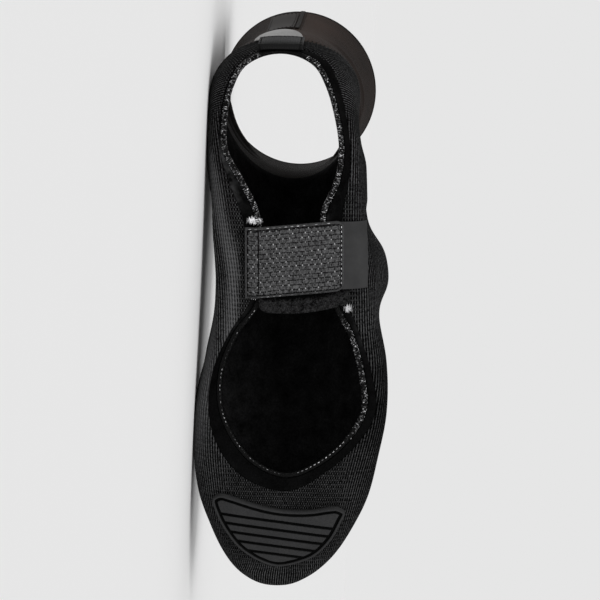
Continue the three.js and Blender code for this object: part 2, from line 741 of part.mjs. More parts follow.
// Up is away from the floor, and the length of the foot stays along x.
const up = down.clone().negate()
const toToe = new THREE.Vector3(1, 0, 0).addScaledVector(up, -up.x).normalize()
const across = up.clone().cross(toToe)
const turned = new THREE.Matrix4().makeBasis(toToe, across, up).transpose()
overshoe.quaternion.setFromRotationMatrix(turned)
overshoe.updateMatrixWorld(true)
const box = new THREE.Box3().setFromObject(overshoe, true)
const centre = box.getCenter(new THREE.Vector3())
overshoe.position.set(-centre.x, -centre.y, -box.min.z)

const part = new THREE.Group()
part.add(overshoe)
export default part
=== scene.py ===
import bmesh
import bpy
import numpy as np
from mathutils import Matrix, Vector


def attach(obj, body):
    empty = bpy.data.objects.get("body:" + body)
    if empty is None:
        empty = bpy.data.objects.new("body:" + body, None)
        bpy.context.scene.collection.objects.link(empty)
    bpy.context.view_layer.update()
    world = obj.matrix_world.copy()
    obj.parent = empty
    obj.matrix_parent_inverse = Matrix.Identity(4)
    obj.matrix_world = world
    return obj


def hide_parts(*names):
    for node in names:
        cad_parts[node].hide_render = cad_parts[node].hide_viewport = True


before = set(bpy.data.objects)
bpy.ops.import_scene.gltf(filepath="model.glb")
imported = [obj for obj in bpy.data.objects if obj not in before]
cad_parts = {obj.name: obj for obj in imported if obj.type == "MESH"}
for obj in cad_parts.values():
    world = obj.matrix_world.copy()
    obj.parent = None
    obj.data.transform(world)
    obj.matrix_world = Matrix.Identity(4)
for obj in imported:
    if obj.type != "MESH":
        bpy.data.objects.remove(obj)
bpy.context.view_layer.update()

# Studio: the overshoe lies on its inner side on a plain pale floor, in an even white room with
# two large soft lights. The camera looks at the sole, a little from the heel, and is rolled so
# that the toe points down in the picture.
laid_down = np.array([
    [0.9988348, 0.04824, -0.0013929, -142.8279],
    [0.0, 0.0288626, 0.9995834, -79.8169],
    [0.0482601, -0.9984187, 0.0288289, 36.3716],
])


def placed(points):
    """The overshoe's own millimetres to metres in the row frame: the turned point plus the
    shift, over 1000."""
    return (points @ laid_down[:, :3].T + laid_down[:, 3]) / 1000


def put(name, data):
    """A new object in the scene that holds the data."""
    made = bpy.data.objects.new(name, data)
    bpy.context.scene.collection.objects.link(made)
    return made


picture_right = np.array([0, -0.99736, 0.0726])
picture_down = np.array([0.959, -0.0206, -0.2826])
picture_depth = np.array([0.2833, 0.0696, 0.9565])
mid_sole, aim_right, aim_up, camera_distance = np.array([140.0, 0, 0]), 9.39, 11.675, 2000
aim = mid_sole + aim_right * picture_right - aim_up * picture_down
stand = placed(aim - camera_distance * picture_depth)
axes = np.stack([picture_right, -picture_down, -picture_depth], axis=1)
turn = laid_down[:, :3] @ axes
camera = put("camera", bpy.data.cameras.new("camera"))
camera.data.lens = 236.4
camera.data.sensor_width = 36
camera.data.clip_end = 30
camera.matrix_world = Matrix(
    [[*turn[0], stand[0]], [*turn[1], stand[1]], [*turn[2], stand[2]], [0, 0, 0, 1]])
bpy.context.scene.camera = camera
bpy.context.scene.view_settings.view_transform = "Standard"


def node(tree, kind, inputs=(), **settings):
    """Adds a shader node. Each input is a plain value, or another node's output to link."""
    made = tree.nodes.new("ShaderNode" + kind)
    for key, value in settings.items():
        setattr(made, key, value)
    for key, value in dict(inputs).items():
        if isinstance(value, bpy.types.Node):
            value = value.outputs[0]
        if isinstance(value, bpy.types.NodeSocket):
            tree.links.new(value, made.inputs[key])
        else:
            made.inputs[key].default_value = value
    return made


wall_seen, wall_light = 0.791, 0.47
room = bpy.data.worlds.new("white_room")
room.use_nodes = True
tree = room.node_tree
seen, lit = (node(tree, "Background", {"Color": (grey, grey, grey, 1)})
             for grey in (wall_seen, wall_light))
by_eye = node(tree, "LightPath").outputs["Is Camera Ray"]
either = node(tree, "MixShader", {0: by_eye, 1: lit, 2: seen})
tree.links.new(either.outputs[0], tree.nodes["World Output"].inputs["Surface"])
tree.nodes.remove(tree.nodes["Background"])
bpy.context.scene.world = room


def softbox(name, direction, spread, power):
    """A wide soft light from far away, shining along a direction."""
    lamp = put(name, bpy.data.lights.new(name, "SUN"))
    lamp.data.angle = np.radians(spread)
    lamp.data.energy = power
    lamp.matrix_world = Vector(direction).to_track_quat("-Z", "Y").to_matrix().to_4x4()


softbox("top_softbox", (0.25, 0.7, -0.75), 35, 1.45)
softbox("toe_softbox", (-0.7, 0.65, -0.1), 30, 0.5)
softbox("heel_softbox", (0.75, 0.6, -0.3), 30, 0.4)


def finish(name, rough, shine, metal=0.0):
    """A new node material of a roughness, a specular level and a share of metal, with its tree
    and its shader."""
    material = bpy.data.materials.new(name)
    material.use_nodes = True
    shader = material.node_tree.nodes["Principled BSDF"]
    for key, value in (("Roughness", rough), ("Specular IOR Level", shine), ("Metallic", metal)):
        shader.inputs[key].default_value = value
    return material, material.node_tree, shader


def grain(tree, scale, detail=2.0):
    """Cloudy noise in the piece's own place, scale per metre."""
    return node(tree, "TexNoise", {
        "Vector": node(tree, "TexCoord").outputs["Object"], "Scale": scale, "Detail": detail,
        "Roughness": 0.65})


def cells(tree, scale):
    """Small cells: output 0 is the distance to a cell's middle, output 1 a random colour."""
    return node(tree, "TexVoronoi", {
        "Vector": node(tree, "TexCoord").outputs["Object"], "Scale": scale})


def added(tree, a, share, b):
    """a times share, plus b."""
    return node(tree, "Math", {0: a, 1: share, 2: b}, operation="MULTIPLY_ADD")


def times(tree, a, b):
    """a times b."""
    return node(tree, "Math", {0: a, 1: b}, operation="MULTIPLY")


def ranged(tree, value, low, high, least=0.0, most=1.0):
    """least where a value is low or less, most where it is high or more, even between."""
    return node(tree, "MapRange", {0: value, 1: low, 2: high, 3: least, 4: most})


def colours(tree, shader, value, dark, light, low=0.0, high=1.0):
    """The base colour: dark where value is low, light where it is high, mixed between."""
    ramp = node(tree, "ValToRGB", {0: ranged(tree, value, low, high)})
    for stop, shade in zip(ramp.color_ramp.elements, (dark, light)):
        stop.color = (*(shade if isinstance(shade, tuple) else (shade, shade, shade * 1.02)), 1)
    tree.links.new(ramp.outputs[0], shader.inputs["Base Color"])


def relief(tree, shader, height, depth, strength=1.0):
    """Bump of a depth in millimetres for a height from 0 to 1."""
    bump = node(tree, "Bump", {"Height": height, "Distance": depth / 1000, "Strength": strength})
    tree.links.new(bump.outputs[0], shader.inputs["Normal"])


floor_size = 6.0
floor_mesh = bpy.data.meshes.new("floor")
floor_mesh.from_pydata(
    [(-floor_size, -floor_size, 0), (floor_size, -floor_size, 0),
     (floor_size, floor_size, 0), (-floor_size, floor_size, 0)], [], [(0, 1, 2, 3)])
floor = put("floor", floor_mesh)
floor_paint, tree, shader = finish("pale_floor", rough=1.0, shine=0.0)
colours(tree, shader, grain(tree, 3), (0.925, 0.925, 0.925), (0.935, 0.935, 0.935))
floor.data.materials.append(floor_paint)

# Upper: the knitted foot of the overshoe, one tube from toe to ankle in a dense ribbed knit
# with a brushed lining. It is cut out under the sole for the facing. Its ribs fan out round the
# toe and run straight along the taut waist.
shoe_length, ball_width, heel_width = 290, 98.6, 77
ankle_width, cuff_width = 71, 83
instep_height, ankle_height, cuff_height = 112, 71, 160
knit_wall = 1.6
foot_sections = [
    # under along, under height, over along, over height, centre, lean, half, widest, sole, crown
    [0.9935, 0.19, 0.9935, 0.19, 0.046, 0, 0, 0.5, 2.2, 2.2],
    [0.9915, 0.135, 0.9915, 0.25, 0.046, 0, 0.078, 0.5, 2.3, 2.2],
    [0.9805, 0.094, 0.9805, 0.304, 0.044, 0.005, 0.148, 0.47, 2.6, 2.2],
    [0.958, 0.065, 0.957, 0.357, 0.036, 0.01, 0.228, 0.42, 3.2, 2.2],
    [0.924, 0.045, 0.921, 0.411, 0.022, 0.02, 0.304, 0.37, 3.8, 2.15],
    [0.876, 0.027, 0.868, 0.464, 0.008, 0.03, 0.376, 0.33, 4.4, 2.1],
    [0.814, 0.012, 0.8, 0.52, -0.006, 0.045, 0.447, 0.3, 4.7, 2.0],
    [0.741, 0.002, 0.717, 0.59, -0.022, 0.06, 0.485, 0.28, 4.8, 1.95],
    [0.662, 0.0, 0.628, 0.67, -0.048, 0.07, 0.502, 0.26, 4.8, 1.85],
    [0.579, 0.013, 0.538, 0.757, -0.073, 0.075, 0.474, 0.24, 4.6, 1.77],
    [0.5, 0.036, 0.459, 0.838, -0.067, 0.07, 0.425, 0.23, 4.4, 1.72],
    [0.414, 0.058, 0.407, 0.902, -0.055, 0.06, 0.408, 0.22, 4.2, 1.72],
    [0.331, 0.058, 0.379, 0.946, -0.033, 0.045, 0.399, 0.22, 4.1, 1.76],
    [0.248, 0.036, 0.364, 0.978, -0.02, 0.035, 0.397, 0.22, 4.0, 1.8],
]
heel_sections = [
    [0.166, 0.013, 0.355, 1.0, -0.009, 0.03, 0.51, 0.22, 3.9, 1.84],
    [0.093, 0.004, 0.348, 1.018, 0.003, 0.028, 0.5, 0.23, 3.4, 1.88],
    [0.041, 0.036, 0.343, 1.036, 0.006, 0.026, 0.495, 0.26, 2.9, 1.92],
    [0.01, 0.125, 0.339, 1.054, 0.007, 0.025, 0.49, 0.3, 2.5, 1.95],
    [0.0, 0.259, 0.336, 1.074, 0.008, 0.024, 0.486, 0.35, 2.3, 2.0],
    [0.0, 0.41, 0.333, 1.098, 0.01, 0.022, 0.478, 0.41, 2.15, 2.0],
]
cuff_sections = [
    # under along, under rise, over along, over rise, centre, lean, flare, widest
    [0.006, -0.09, 0.331, 0.62, 0.013, 0.019, 0.08, 0.46],
    [0.019, 0.1, 0.33, 0.67, 0.016, 0.015, 0.0, 0.48],
    [0.032, 0.28, 0.331, 0.73, 0.019, 0.011, 0.08, 0.49],
    [0.04, 0.46, 0.333, 0.79, 0.021, 0.008, 0.24, 0.5],
    [0.044, 0.64, 0.336, 0.86, 0.023, 0.005, 0.48, 0.5],
    [0.0445, 0.82, 0.339, 0.93, 0.025, 0.002, 0.74, 0.5],
    [0.045, 1.0, 0.342, 1.0, 0.027, 0, 1.0, 0.5],
]
seam_row, last_row = 18.15, 26


def section_table():
    """Every section in millimetres: the shares above times the sizes they are shares of."""
    foot, heel, cuff = (np.array(rows) for rows in (foot_sections, heel_sections, cuff_sections))
    lengths = np.array([shoe_length, instep_height] * 2 + [ball_width] * 2)
    foot = np.column_stack([foot[:, :6] * lengths, foot[:, 6] * ball_width, foot[:, 7:]])
    heel = np.column_stack([heel[:, :6] * lengths, heel[:, 6] * heel_width, heel[:, 7:]])
    rise = ankle_height + cuff[:, [1, 3]] * (cuff_height - ankle_height)
    half = (ankle_width + cuff[:, 6] * (cuff_width - ankle_width)) / 2
    round_ends = np.full(len(cuff), 2.0)
    cuff = np.column_stack([
        cuff[:, 0] * shoe_length, rise[:, 0], cuff[:, 2] * shoe_length, rise[:, 1],
        cuff[:, 4:6] * ball_width, half, cuff[:, 7], round_ends, round_ends])
    return np.vstack([foot, heel, cuff])


def sections_at(row):
    """Sections between the rows by a Catmull-Rom curve, mirrored past the toe tip."""
    table = section_table()
    tip = table[1][[2, 3, 0, 1, 4, 5, 6, 7, 8, 9]] * [1, 1, 1, 1, 1, 1, -1, 1, 1, 1]
    table = np.vstack([tip, table, 2 * table[-1] - table[-2]])
    i = np.clip(np.floor(row).astype(int), 0, last_row - 1)
    f = (np.clip(row, 0, last_row) - i)[..., None]
    return (table[i] * (((2 - f) * f - 1) * f / 2) + table[i + 1] * (((3 * f - 5) * f * f + 2) / 2)
            + table[i + 2] * (((4 - 3 * f) * f + 1) * f / 2) + table[i + 3] * ((f - 1) * f * f / 2))


row_step = 0.025
fine_rows = np.arange(0, last_row + row_step / 2, row_step)
fine_shares = np.linspace(0, 1, 241)


def half_sections(side):
    """Half of every fine section from under to over, at equal steps of its own arc length.
    Under and over are joined by a superellipse of power sole below and crown above."""
    s = sections_at(fine_rows)
    t = np.linspace(0, 1, 121)
    crowded = t**2.4 / (t**2.4 + (1 - t)**2.4)
    angle = np.pi / 2 * np.concatenate([crowded, 1 + crowded[1:]])
    lower = np.arange(len(angle)) <= 120
    power = 2 / np.where(lower, s[:, 8:9], s[:, 9:10])
    rise = np.abs(np.cos(angle))**power
    widest = s[:, 7:8]
    share = np.where(lower, widest * (1 - rise), widest + (1 - widest) * rise)
    out = s[:, 6:7] * np.clip(np.sin(angle), 0, 1)**power
    line = np.stack([s[:, 0:1] + (s[:, 2:3] - s[:, 0:1]) * share,
                     s[:, 4:5] + s[:, 5:6] * share + side * out,
                     s[:, 1:2] + (s[:, 3:4] - s[:, 1:2]) * share], axis=-1)
    steps = np.linalg.norm(np.diff(line, axis=1), axis=-1)
    run = np.concatenate([np.zeros((len(line), 1)), np.cumsum(steps, axis=1)], axis=1)
    total = run[:, -1]
    run[0] = np.linspace(0, 1, len(angle))
    shift = 2.0 * np.arange(len(line))[:, None]
    place = (run / np.maximum(run[:, -1:], 1e-9) + shift).ravel()
    even = [np.interp((fine_shares + shift).ravel(), place, line[..., k].ravel()) for k in range(3)]
    return np.stack(even, axis=-1).reshape(len(line), -1, 3), total


def run_along(line):
    """The distance along a line of points from its first one, the sum of its steps."""
    return np.concatenate([[0], np.cumsum(np.linalg.norm(np.diff(line, axis=0), axis=1))])


inner_half, outer_half = half_sections(1), half_sections(-1)
half_lines = np.stack([inner_half[0], outer_half[0]])
half_totals = np.stack([inner_half[1], outer_half[1]])
centre_line = sections_at(fine_rows)[:, 4]
under_line = half_lines[0, :, 0]
under_run = run_along(under_line)
heel_row = 16
heel_index = int(round(heel_row / row_step))
fine_alongs = under_line[heel_index, 0] + under_run[heel_index] - under_run
bulge_depth, bulge_at, bulge_height, bulge_radius = 9, 121, 42, 17


def along_of(row):
    """Length along the middle of the underside, counted like x from the heel."""
    return np.interp(row, fine_rows, fine_alongs)


def row_of(along):
    """The section that a length along the underside belongs to."""
    return np.interp(-np.asarray(along), -fine_alongs, fine_rows)


def girths(row):
    """Lengths of the inner and of the outer half of a section."""
    return np.interp(row, fine_rows, half_totals[0]), np.interp(row, fine_rows, half_totals[1])


def form(row, across):
    """The form's point on a section, across millimetres of arc from the middle of its
    underside, inner side positive, read between the fine half sections. Past the top the
    arc goes on down the other side. The outer side has one low, round bulge: its depth over
    one plus the fourth power of the distance in radii."""
    row, across = np.broadcast_arrays(np.clip(row, 0, last_row), across)
    inner, outer = girths(row)
    across = np.where(across > inner, across - inner - outer, across)
    across = np.where(across < -outer, across + inner + outer, across)
    side = (across < 0).astype(int)
    share = np.abs(across) / np.maximum(np.where(side, outer, inner), 1e-9)
    i_at = np.clip(row / row_step, 0, len(fine_rows) - 1.001)
    j_at = np.clip(share, 0, 1) * (len(fine_shares) - 1.001)
    i, j = i_at.astype(int), j_at.astype(int)
    f, g = (i_at - i)[..., None], (j_at - j)[..., None]
    low = half_lines[side, i, j] * (1 - g) + half_lines[side, i, j + 1] * g
    high = half_lines[side, i + 1, j] * (1 - g) + half_lines[side, i + 1, j + 1] * g
    point = low * (1 - f) + high * f
    reach = np.hypot(point[..., 0] - bulge_at, point[..., 2] - bulge_height) / bulge_radius
    point[..., 1] -= np.where(side, bulge_depth / (1 + reach**4), 0)
    return point


def lifted(row, across, lift):
    """The form's point moved out along its normal, the slope along times the slope around."""
    along = form(row + 0.04, across) - form(np.maximum(row - 0.04, 0), across)
    around = form(row, across + 0.4) - form(row, across - 0.4)
    out = np.cross(along, around)
    length = np.linalg.norm(out, axis=-1, keepdims=True)
    tip = np.array([1.0, 0, 0])
    out = np.where(length > 1e-6, out / np.maximum(length, 1e-6), tip)
    return form(row, across) + out * np.broadcast_to(lift, out.shape[:-1])[..., None]


def wrapped(along, across, lift):
    """A point of the flat pattern laid on the form: along picks the section, and across is
    counted from the middle plane."""
    row = row_of(along)
    return lifted(row, across - np.interp(row, fine_rows, centre_line), lift)


def net(rows, cols, closed_rows=False, closed_cols=False):
    """Quads of a grid of points counted row by row, facing along rows times along columns,
    and the same quads in a grid of map points, which isn't closed."""
    i, j = np.meshgrid(np.arange(rows - (not closed_rows)), np.arange(cols - (not closed_cols)),
                       indexing="ij")
    corners = [(i, j), (i + 1, j), (i + 1, j + 1), (i, j + 1)]
    quads = [(a % rows) * cols + b % cols for a, b in corners]
    wide = cols + closed_cols
    maps = [a * wide + b for a, b in corners]
    return (np.stack(quads, axis=-1).reshape(-1, 4), np.stack(maps, axis=-1).reshape(-1, 4))


def pressed(points):
    """Points below the floor come up to it, softly: half of z plus the root of z squared plus
    a small square."""
    z = points[:, 2]
    return np.column_stack([points[:, :2], (z + np.sqrt(z**2 + 0.0003**2)) / 2])


def piece(name, points, quads, materials, nodes=(), maps=None, marks=None):
    """A smooth mesh from points in the overshoe's millimetres and quads. maps names (map
    points, quads of map points), marks names one number per point. It rides on the root."""
    mesh = bpy.data.meshes.new(name)
    mesh.from_pydata(pressed(placed(points.reshape(-1, 3))), [], quads)
    for label, (values, map_quads) in (maps or {}).items():
        layer = mesh.uv_layers.new(name=label)
        layer.data.foreach_set("uv", values.reshape(-1, 2)[map_quads.ravel()].ravel())
    for label, values in (marks or {}).items():
        mesh.attributes.new(label, "FLOAT", "POINT").data.foreach_set("value", values.ravel())
    made = bmesh.new()
    made.from_mesh(mesh)
    bmesh.ops.remove_doubles(made, verts=made.verts, dist=4e-6)
    made.to_mesh(mesh)
    made.free()
    mesh.polygons.foreach_set("use_smooth", np.ones(len(mesh.polygons), bool))
    made = put(name, mesh)
    for material in materials:
        mesh.materials.append(material)
    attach(made, "root")
    if nodes:
        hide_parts(*nodes)
    return made


facing_width = 10
opening_table = [
    # along, inner edge, outer edge, inner facing, outer facing
    [0.014, 0.188, -0.157, 0.42, 0.75], [0.055, 0.254, -0.228, 0.4, 0.8],
    [0.11, 0.286, -0.274, 0.42, 0.7], [0.172, 0.284, -0.294, 0.45, 0.65],
    [0.228, 0.203, -0.269, 0.8, 0.75], [0.29, 0.122, -0.198, 0.9, 1.1],
    [0.372, 0.105, -0.2, 0.8, 1.0], [0.455, 0.112, -0.254, 0.55, 0.75],
    [0.517, 0.233, -0.345, 0.42, 0.55], [0.586, 0.309, -0.4, 0.6, 0.65],
    [0.648, 0.306, -0.41, 0.85, 0.78], [0.703, 0.238, -0.315, 1.1, 0.7],
    [0.745, 0.132, -0.172, 1.15, 0.75],
]
opening_back, opening_front = [-0.012, 0.014, 0.5], [0.766, -0.02, 1.0]


def outline(points, t):
    """A closed curve through points, centripetal Catmull-Rom: the knots are the roots of the
    distances. t goes once round from 0 to 1."""
    points = np.array(points)
    n = len(points)
    i = np.floor(t * n).astype(int)
    w = (t * n - i)[:, None]
    a, b, c, d = (points[(i + k) % n] for k in (-1, 0, 1, 2))
    ab, bc, cd = (np.maximum(np.sum((q - p)**2, axis=1), 1e-9)[:, None]**0.25
                  for p, q in ((a, b), (b, c), (c, d)))
    start = ((b - a) / ab - (c - a) / (ab + bc) + (c - b) / bc) * bc
    end = ((c - b) / bc - (d - b) / (bc + cd) + (d - c) / cd) * bc
    return (b + start * w + (3 * (c - b) - 2 * start - end) * w**2
            + (2 * (b - c) + start + end) * w**3)


def ring_points(back, table, columns, front, sizes):
    """Points of an outline: back end, the inner way to the front end, and the outer way back.
    columns says where the table's rows hold the inner and the outer points."""
    inner, outer = (np.array(table)[:, picked] for picked in columns)
    return np.array([back, *inner, front, *outer[::-1]]) * sizes


opening_points = ring_points(opening_back, opening_table, ([0, 1, 3], [0, 2, 4]), opening_front,
                             [shoe_length, ball_width, facing_width])


def grown(points, t, growth, band_share=0.0):
    """An outline's points moved outwards, by growth and by a share of the band's width."""
    t = t % 1
    slope = outline(points, (t + 1e-3) % 1) - outline(points, (t - 1e-3) % 1)
    length = np.hypot(slope[:, 0], slope[:, 1])
    at = outline(points, t)
    move = (growth + band_share * at[:, 2]) / length
    return np.stack([at[:, 0] - slope[:, 1] * move, at[:, 1] + slope[:, 0] * move], axis=-1)


def even_turns(points, count, start=0.0, end=1.0):
    """Places round an outline at even distances."""
    t = np.linspace(start, end, 4001)
    run = run_along(outline(points, t % 1)[:, :2])
    return np.interp(np.linspace(0, run[-1], count), run, t)


def fade(value, start, width):
    """0 up to a start and 1 a width past it, rising evenly. A width below 0 falls instead."""
    return np.clip((value - start) / width, 0, 1)


def eased(share):
    """A share from 0 to 1 with a soft start and end: three squares less two cubes."""
    share = np.clip(share, 0, 1)
    return share**2 * (3 - 2 * share)


def crease(along, across, lines):
    """Listed folds: each line runs between two points of the pattern, and lifts the
    cloth by its height, fading as a bell across its width and towards its two ends."""
    lift = np.zeros(np.broadcast(along, across).shape)
    for (a0, c0), (a1, c1), width, height in lines:
        run = np.hypot(a1 - a0, c1 - c0)
        u = ((along - a0) * (a1 - a0) + (across - c0) * (c1 - c0)) / run
        v = ((across - c0) * (a1 - a0) - (along - a0) * (c1 - c0)) / run
        lift += height * np.exp(-(v / width)**2) * eased(np.minimum(u, run - u) / (0.3 * run))
    return lift


upper_folds = [
    # from (along, across), to (along, across), width, height
    ((70, 42), (168, 40), 3.0, 1.0),
    ((78, 50), (160, 49), 2.6, -0.8),
    ((95, 34), (150, 33), 2.2, 0.6),
    ((60, -46), (150, -44), 3.0, 0.7),
    ((30, 60), (75, 78), 3.6, -1.7),
    ((38, 52), (84, 70), 3.6, 1.4),
    ((30, -62), (80, -86), 3.8, -1.8),
    ((38, -53), (88, -75), 3.8, 1.5),
    ((14, 84), (78, 112), 4.6, -2.1),
    ((20, -88), (80, -118), 4.6, -2.2),
    ((44, -92), (104, -122), 4.2, -1.6),
    ((190, 70), (224, 112), 4.0, -1.4),
    ((196, -76), (228, -112), 4.0, -1.4),
    ((166, 60), (208, 104), 3.8, -1.2),
    ((158, -64), (204, -106), 4.0, -1.3),
]


def knit_grid():
    """Rows every 1.32 mm along the underside, closer at the ends of the opening. Each row runs
    from the opening's inner edge up the inner side to the top, where its last point is
    repeated for the other side, and down to the outer edge. Where there is no opening, both
    edges are one point."""
    t = np.linspace(0, 1, 2001)
    edge = grown(opening_points, t, 0.1, 1.0)
    low, high = edge[:, 0].min(), edge[:, 0].max()
    alongs = np.arange(along_of(seam_row), along_of(0), 1.32)
    near = np.array([0.02, 0.1, 0.25, 0.5, 0.8])
    alongs = np.concatenate([alongs, low + near, high - near, [low, high, along_of(0)]])
    rows = row_of(np.sort(alongs)[::-1])
    along = along_of(rows)
    inner_way, outer_way = edge[:1001], edge[1000:][::-1]
    order_in, order_out = np.argsort(inner_way[:, 0]), np.argsort(outer_way[:, 0])
    centre = np.interp(rows, fine_rows, centre_line)
    start = np.interp(along, inner_way[order_in, 0], inner_way[order_in, 1]) - centre
    end = np.interp(along, outer_way[order_out, 0], outer_way[order_out, 1]) - centre
    closed = (along <= low) | (along >= high)
    start = np.where(closed, (start + end) / 2, start)
    end = np.where(closed, start, end)
    inner, outer = girths(rows)
    inner, outer, start, end = (a[:, None] for a in (inner, outer, start, end))
    inset = np.array([0, 0.5, 1.1, 1.9]) * np.where(closed, 0, 1)[:, None]
    near, far = start + inset, end - inset[:, ::-1]
    up = near[:, -1:] + np.linspace(0, 1, 84)[1:] * (inner - near[:, -1:])
    down = -outer + np.linspace(0, 1, 84)[:-1] * (outer + far[:, :1])
    signed = np.concatenate([near, up, down, far], axis=1)
    from_edge = np.minimum(np.abs(signed - start), np.abs(signed - end))
    from_edge = np.where(closed[:, None], 20.0, from_edge)
    return rows[:, None], signed, from_edge


rows, signed, from_edge = knit_grid()
inner_girth, outer_girth = girths(rows)
along = along_of(rows) + 0 * signed
folds = crease(along, signed, upper_folds)
pucker_height, pucker_pitch, edge_dip = 0.12, 7.5, 0.45
puckers = pucker_height * np.sin(2 * np.pi * along / pucker_pitch) * np.exp(-(from_edge / 4)**2)
lift = folds + puckers - edge_dip * np.exp(-(from_edge / 1.1)**2)
points = lifted(rows, signed, lift)

# The halves of the sections meet in a slight ridge along the top. Behind the toe it is rounded
# off: each point within reach becomes half itself and a quarter of each neighbour, ten times.
top, reach, rounds = np.argmax(signed[-1]), 10, 10
behind_toe = rows[:, 0] > 2
crown = np.delete(points[behind_toe], top + 1, axis=1)
for _ in range(rounds):
    crown[:, top - reach:top + reach + 1] = (
        crown[:, top - reach - 1:top + reach] + 2 * crown[:, top - reach:top + reach + 1]
        + crown[:, top - reach + 1:top + reach + 2]) / 4
points[behind_toe] = np.insert(crown, top + 1, crown[:, top], axis=1)

wale_pitch, side_wales = 1.2, 104
half_girth = np.maximum(np.where(signed > 0, inner_girth, outer_girth), 1e-9)
narrowing = fade(rows, 3, 4)
wales = signed * ((1 - narrowing) / wale_pitch + narrowing * side_wales / half_girth)
heel_part = fade(rows + 0 * signed, 14.6, 0.8)
side_part = fade(np.abs(signed), 46, 12) * fade(rows, 5, 3)
# Painted light on the knit: two narrow strips along inner folds and a broad one up the inner side
# are made lighter, painted highlights; two broad strips on the outer side are made darker, painted
# shade.
painted_light_strips = crease(along, signed, [
    # from (along, across), to (along, across), width, strength
    ((44, 42), (122, 30), 2.8, 1.7), ((92, 29), (190, 37), 2.8, 1.5), ((20, 53), (215, 47), 9, 0.3),
    ((134, -58), (266, -46), 14, -0.19), ((20, -52), (132, -50), 12, -0.1)])
# Painted sheen: high on the inner side, between the toe and the heel, the knit's colour is made
# lighter.
painted_sheen_side = fade(signed, 41, 6) * fade(along, 8, 30) * fade(along, 232, -30)
ribbed = np.maximum(fade(rows, 4.6, -1.5), np.clip((np.abs(signed) - 24) / 12, 0.2, 0.85))

quads, map_quads = net(*signed.shape)


def mark(tree, name):
    """The number that the mesh holds under a name for each of its points."""
    return node(tree, "Attribute", attribute_name=name).outputs["Fac"]


def map_place(tree, name="flat"):
    """The two values of a piece's own map."""
    return node(tree, "SeparateXYZ", {0: node(tree, "UVMap", uv_map=name).outputs[0]}).outputs[:2]


def wave(tree, place, pitch):
    """A wave from 0 to 1 with its crests one pitch apart: half of one plus the cosine."""
    turn = node(tree, "Math", {0: place, 1: 2 * np.pi / pitch}, operation="MULTIPLY")
    cosine = node(tree, "Math", {0: turn}, operation="COSINE")
    return added(tree, cosine, 0.5, 0.5)


def blended(tree, share, a, b):
    """a where share is 0 and b where it is 1."""
    return node(tree, "Mix", {"Factor": share, "A": a, "B": b})


def raised(tree, value, power):
    """A value from 0 to 1 to a power, which narrows its crests."""
    return node(tree, "Math", {0: value, 1: power}, operation="POWER")


knit, tree, shader = finish("ribbed_knit", rough=0.85, shine=0.02)
course_pitch, dot_slope = 1.3, 0.41
wale, course = map_place(tree, "wales")
across_wales = wave(tree, wale, 1.0)
ribs = blended(tree, mark(tree, "heel"), across_wales, wave(tree, course, course_pitch))
dots = times(tree, *(wave(tree, added(tree, course, slope, wale), 1.0)
                     for slope in (dot_slope, -dot_slope)))
fibres = grain(tree, 1000, 3)
patches = grain(tree, 45, 3)
rough = ranged(tree, fibres, 0.3, 0.75, 0.0, 2.2)
narrow_ribs = raised(tree, ribs, 3.0)
middle = blended(tree, mark(tree, "ribbed"), raised(tree, dots, 1.5), narrow_ribs)
middle = times(tree, middle, rough)
sides = added(tree, times(tree, narrow_ribs, rough), 0.6, 0.02)
tone = blended(tree, mark(tree, "side"), added(tree, middle, 0.72, 0.0), sides)
tone = times(tree, tone, added(tree, patches, 1.2, 0.4))
# The painted highlights and painted shade of those strips follow the ribs.
painted_light_ribs = added(tree, times(tree, rough, raised(tree, across_wales, 1.5)), 1.5, 0.1)
tone = added(tree, times(tree, mark(tree, "painted_light_strips"), painted_light_ribs), 1.15, tone)
# Lighter colour high on the inner side: painted sheen.
tone = added(tree, mark(tree, "painted_sheen_side"), 0.3, tone)
colours(tree, shader, tone, 0.0004, 0.1)
relief(tree, shader, added(tree, fibres, 0.8, added(tree, dots, 0.8, ribs)), 0.35, 1.0)

lining, tree, shader = finish("brushed_lining", rough=0.95, shine=0.02)
pile = times(tree, grain(tree, 900, 5), grain(tree, 120, 3))
colours(tree, shader, pile, 0.0015, 0.022, 0.1, 0.5)
relief(tree, shader, pile, 0.5)



def walled(cloth, thickness, inside=0):
    """Gives a sheet its wall, inwards. inside picks the inner face's material."""
    wall = cloth.modifiers.new("wall", "SOLIDIFY")
    wall.thickness = thickness / 1000
    wall.offset = -1
    wall.material_offset = inside


upper = piece("knit_upper", points, quads, [knit, lining], ["upper"],
              {"wales": (np.stack([wales, along], axis=-1), map_quads)},
              {"heel": heel_part, "side": side_part, "painted_light_strips": painted_light_strips, "ribbed": ribbed,
               "painted_sheen_side": painted_sheen_side})
walled(upper, knit_wall, inside=1)

# Facing: a band of smooth black coated cloth, sewn in round the opening a little below the knit.
# It lies tight, with faint pulls towards the strap's two sewn ends; four strips near the strap's
# ends are lighter, a painted gloss highlight.
facing_wall, facing_recess, binding_width = 1.3, 0.3, 3
opening_girth, facing_pucker, facing_pucker_pitch = 560, 0.1, 10.6


def loop_profile(count, flatness):
    """A closed cross-section from -1 to 1 each way: a superellipse, over the top first."""
    angle = np.linspace(0, 2 * np.pi, count, endpoint=False)
    side, top = -np.cos(angle), np.sin(angle)
    return [np.sign(way) * np.abs(way)**(2 / flatness) for way in (side, top)]


def band(inner, outer, side):
    """Pattern points across a band, from its inner line at side -1 to its outer one at 1."""
    share = (0.5 + 0.5 * side)[:, None, None]
    return inner * (1 - share) + outer * share


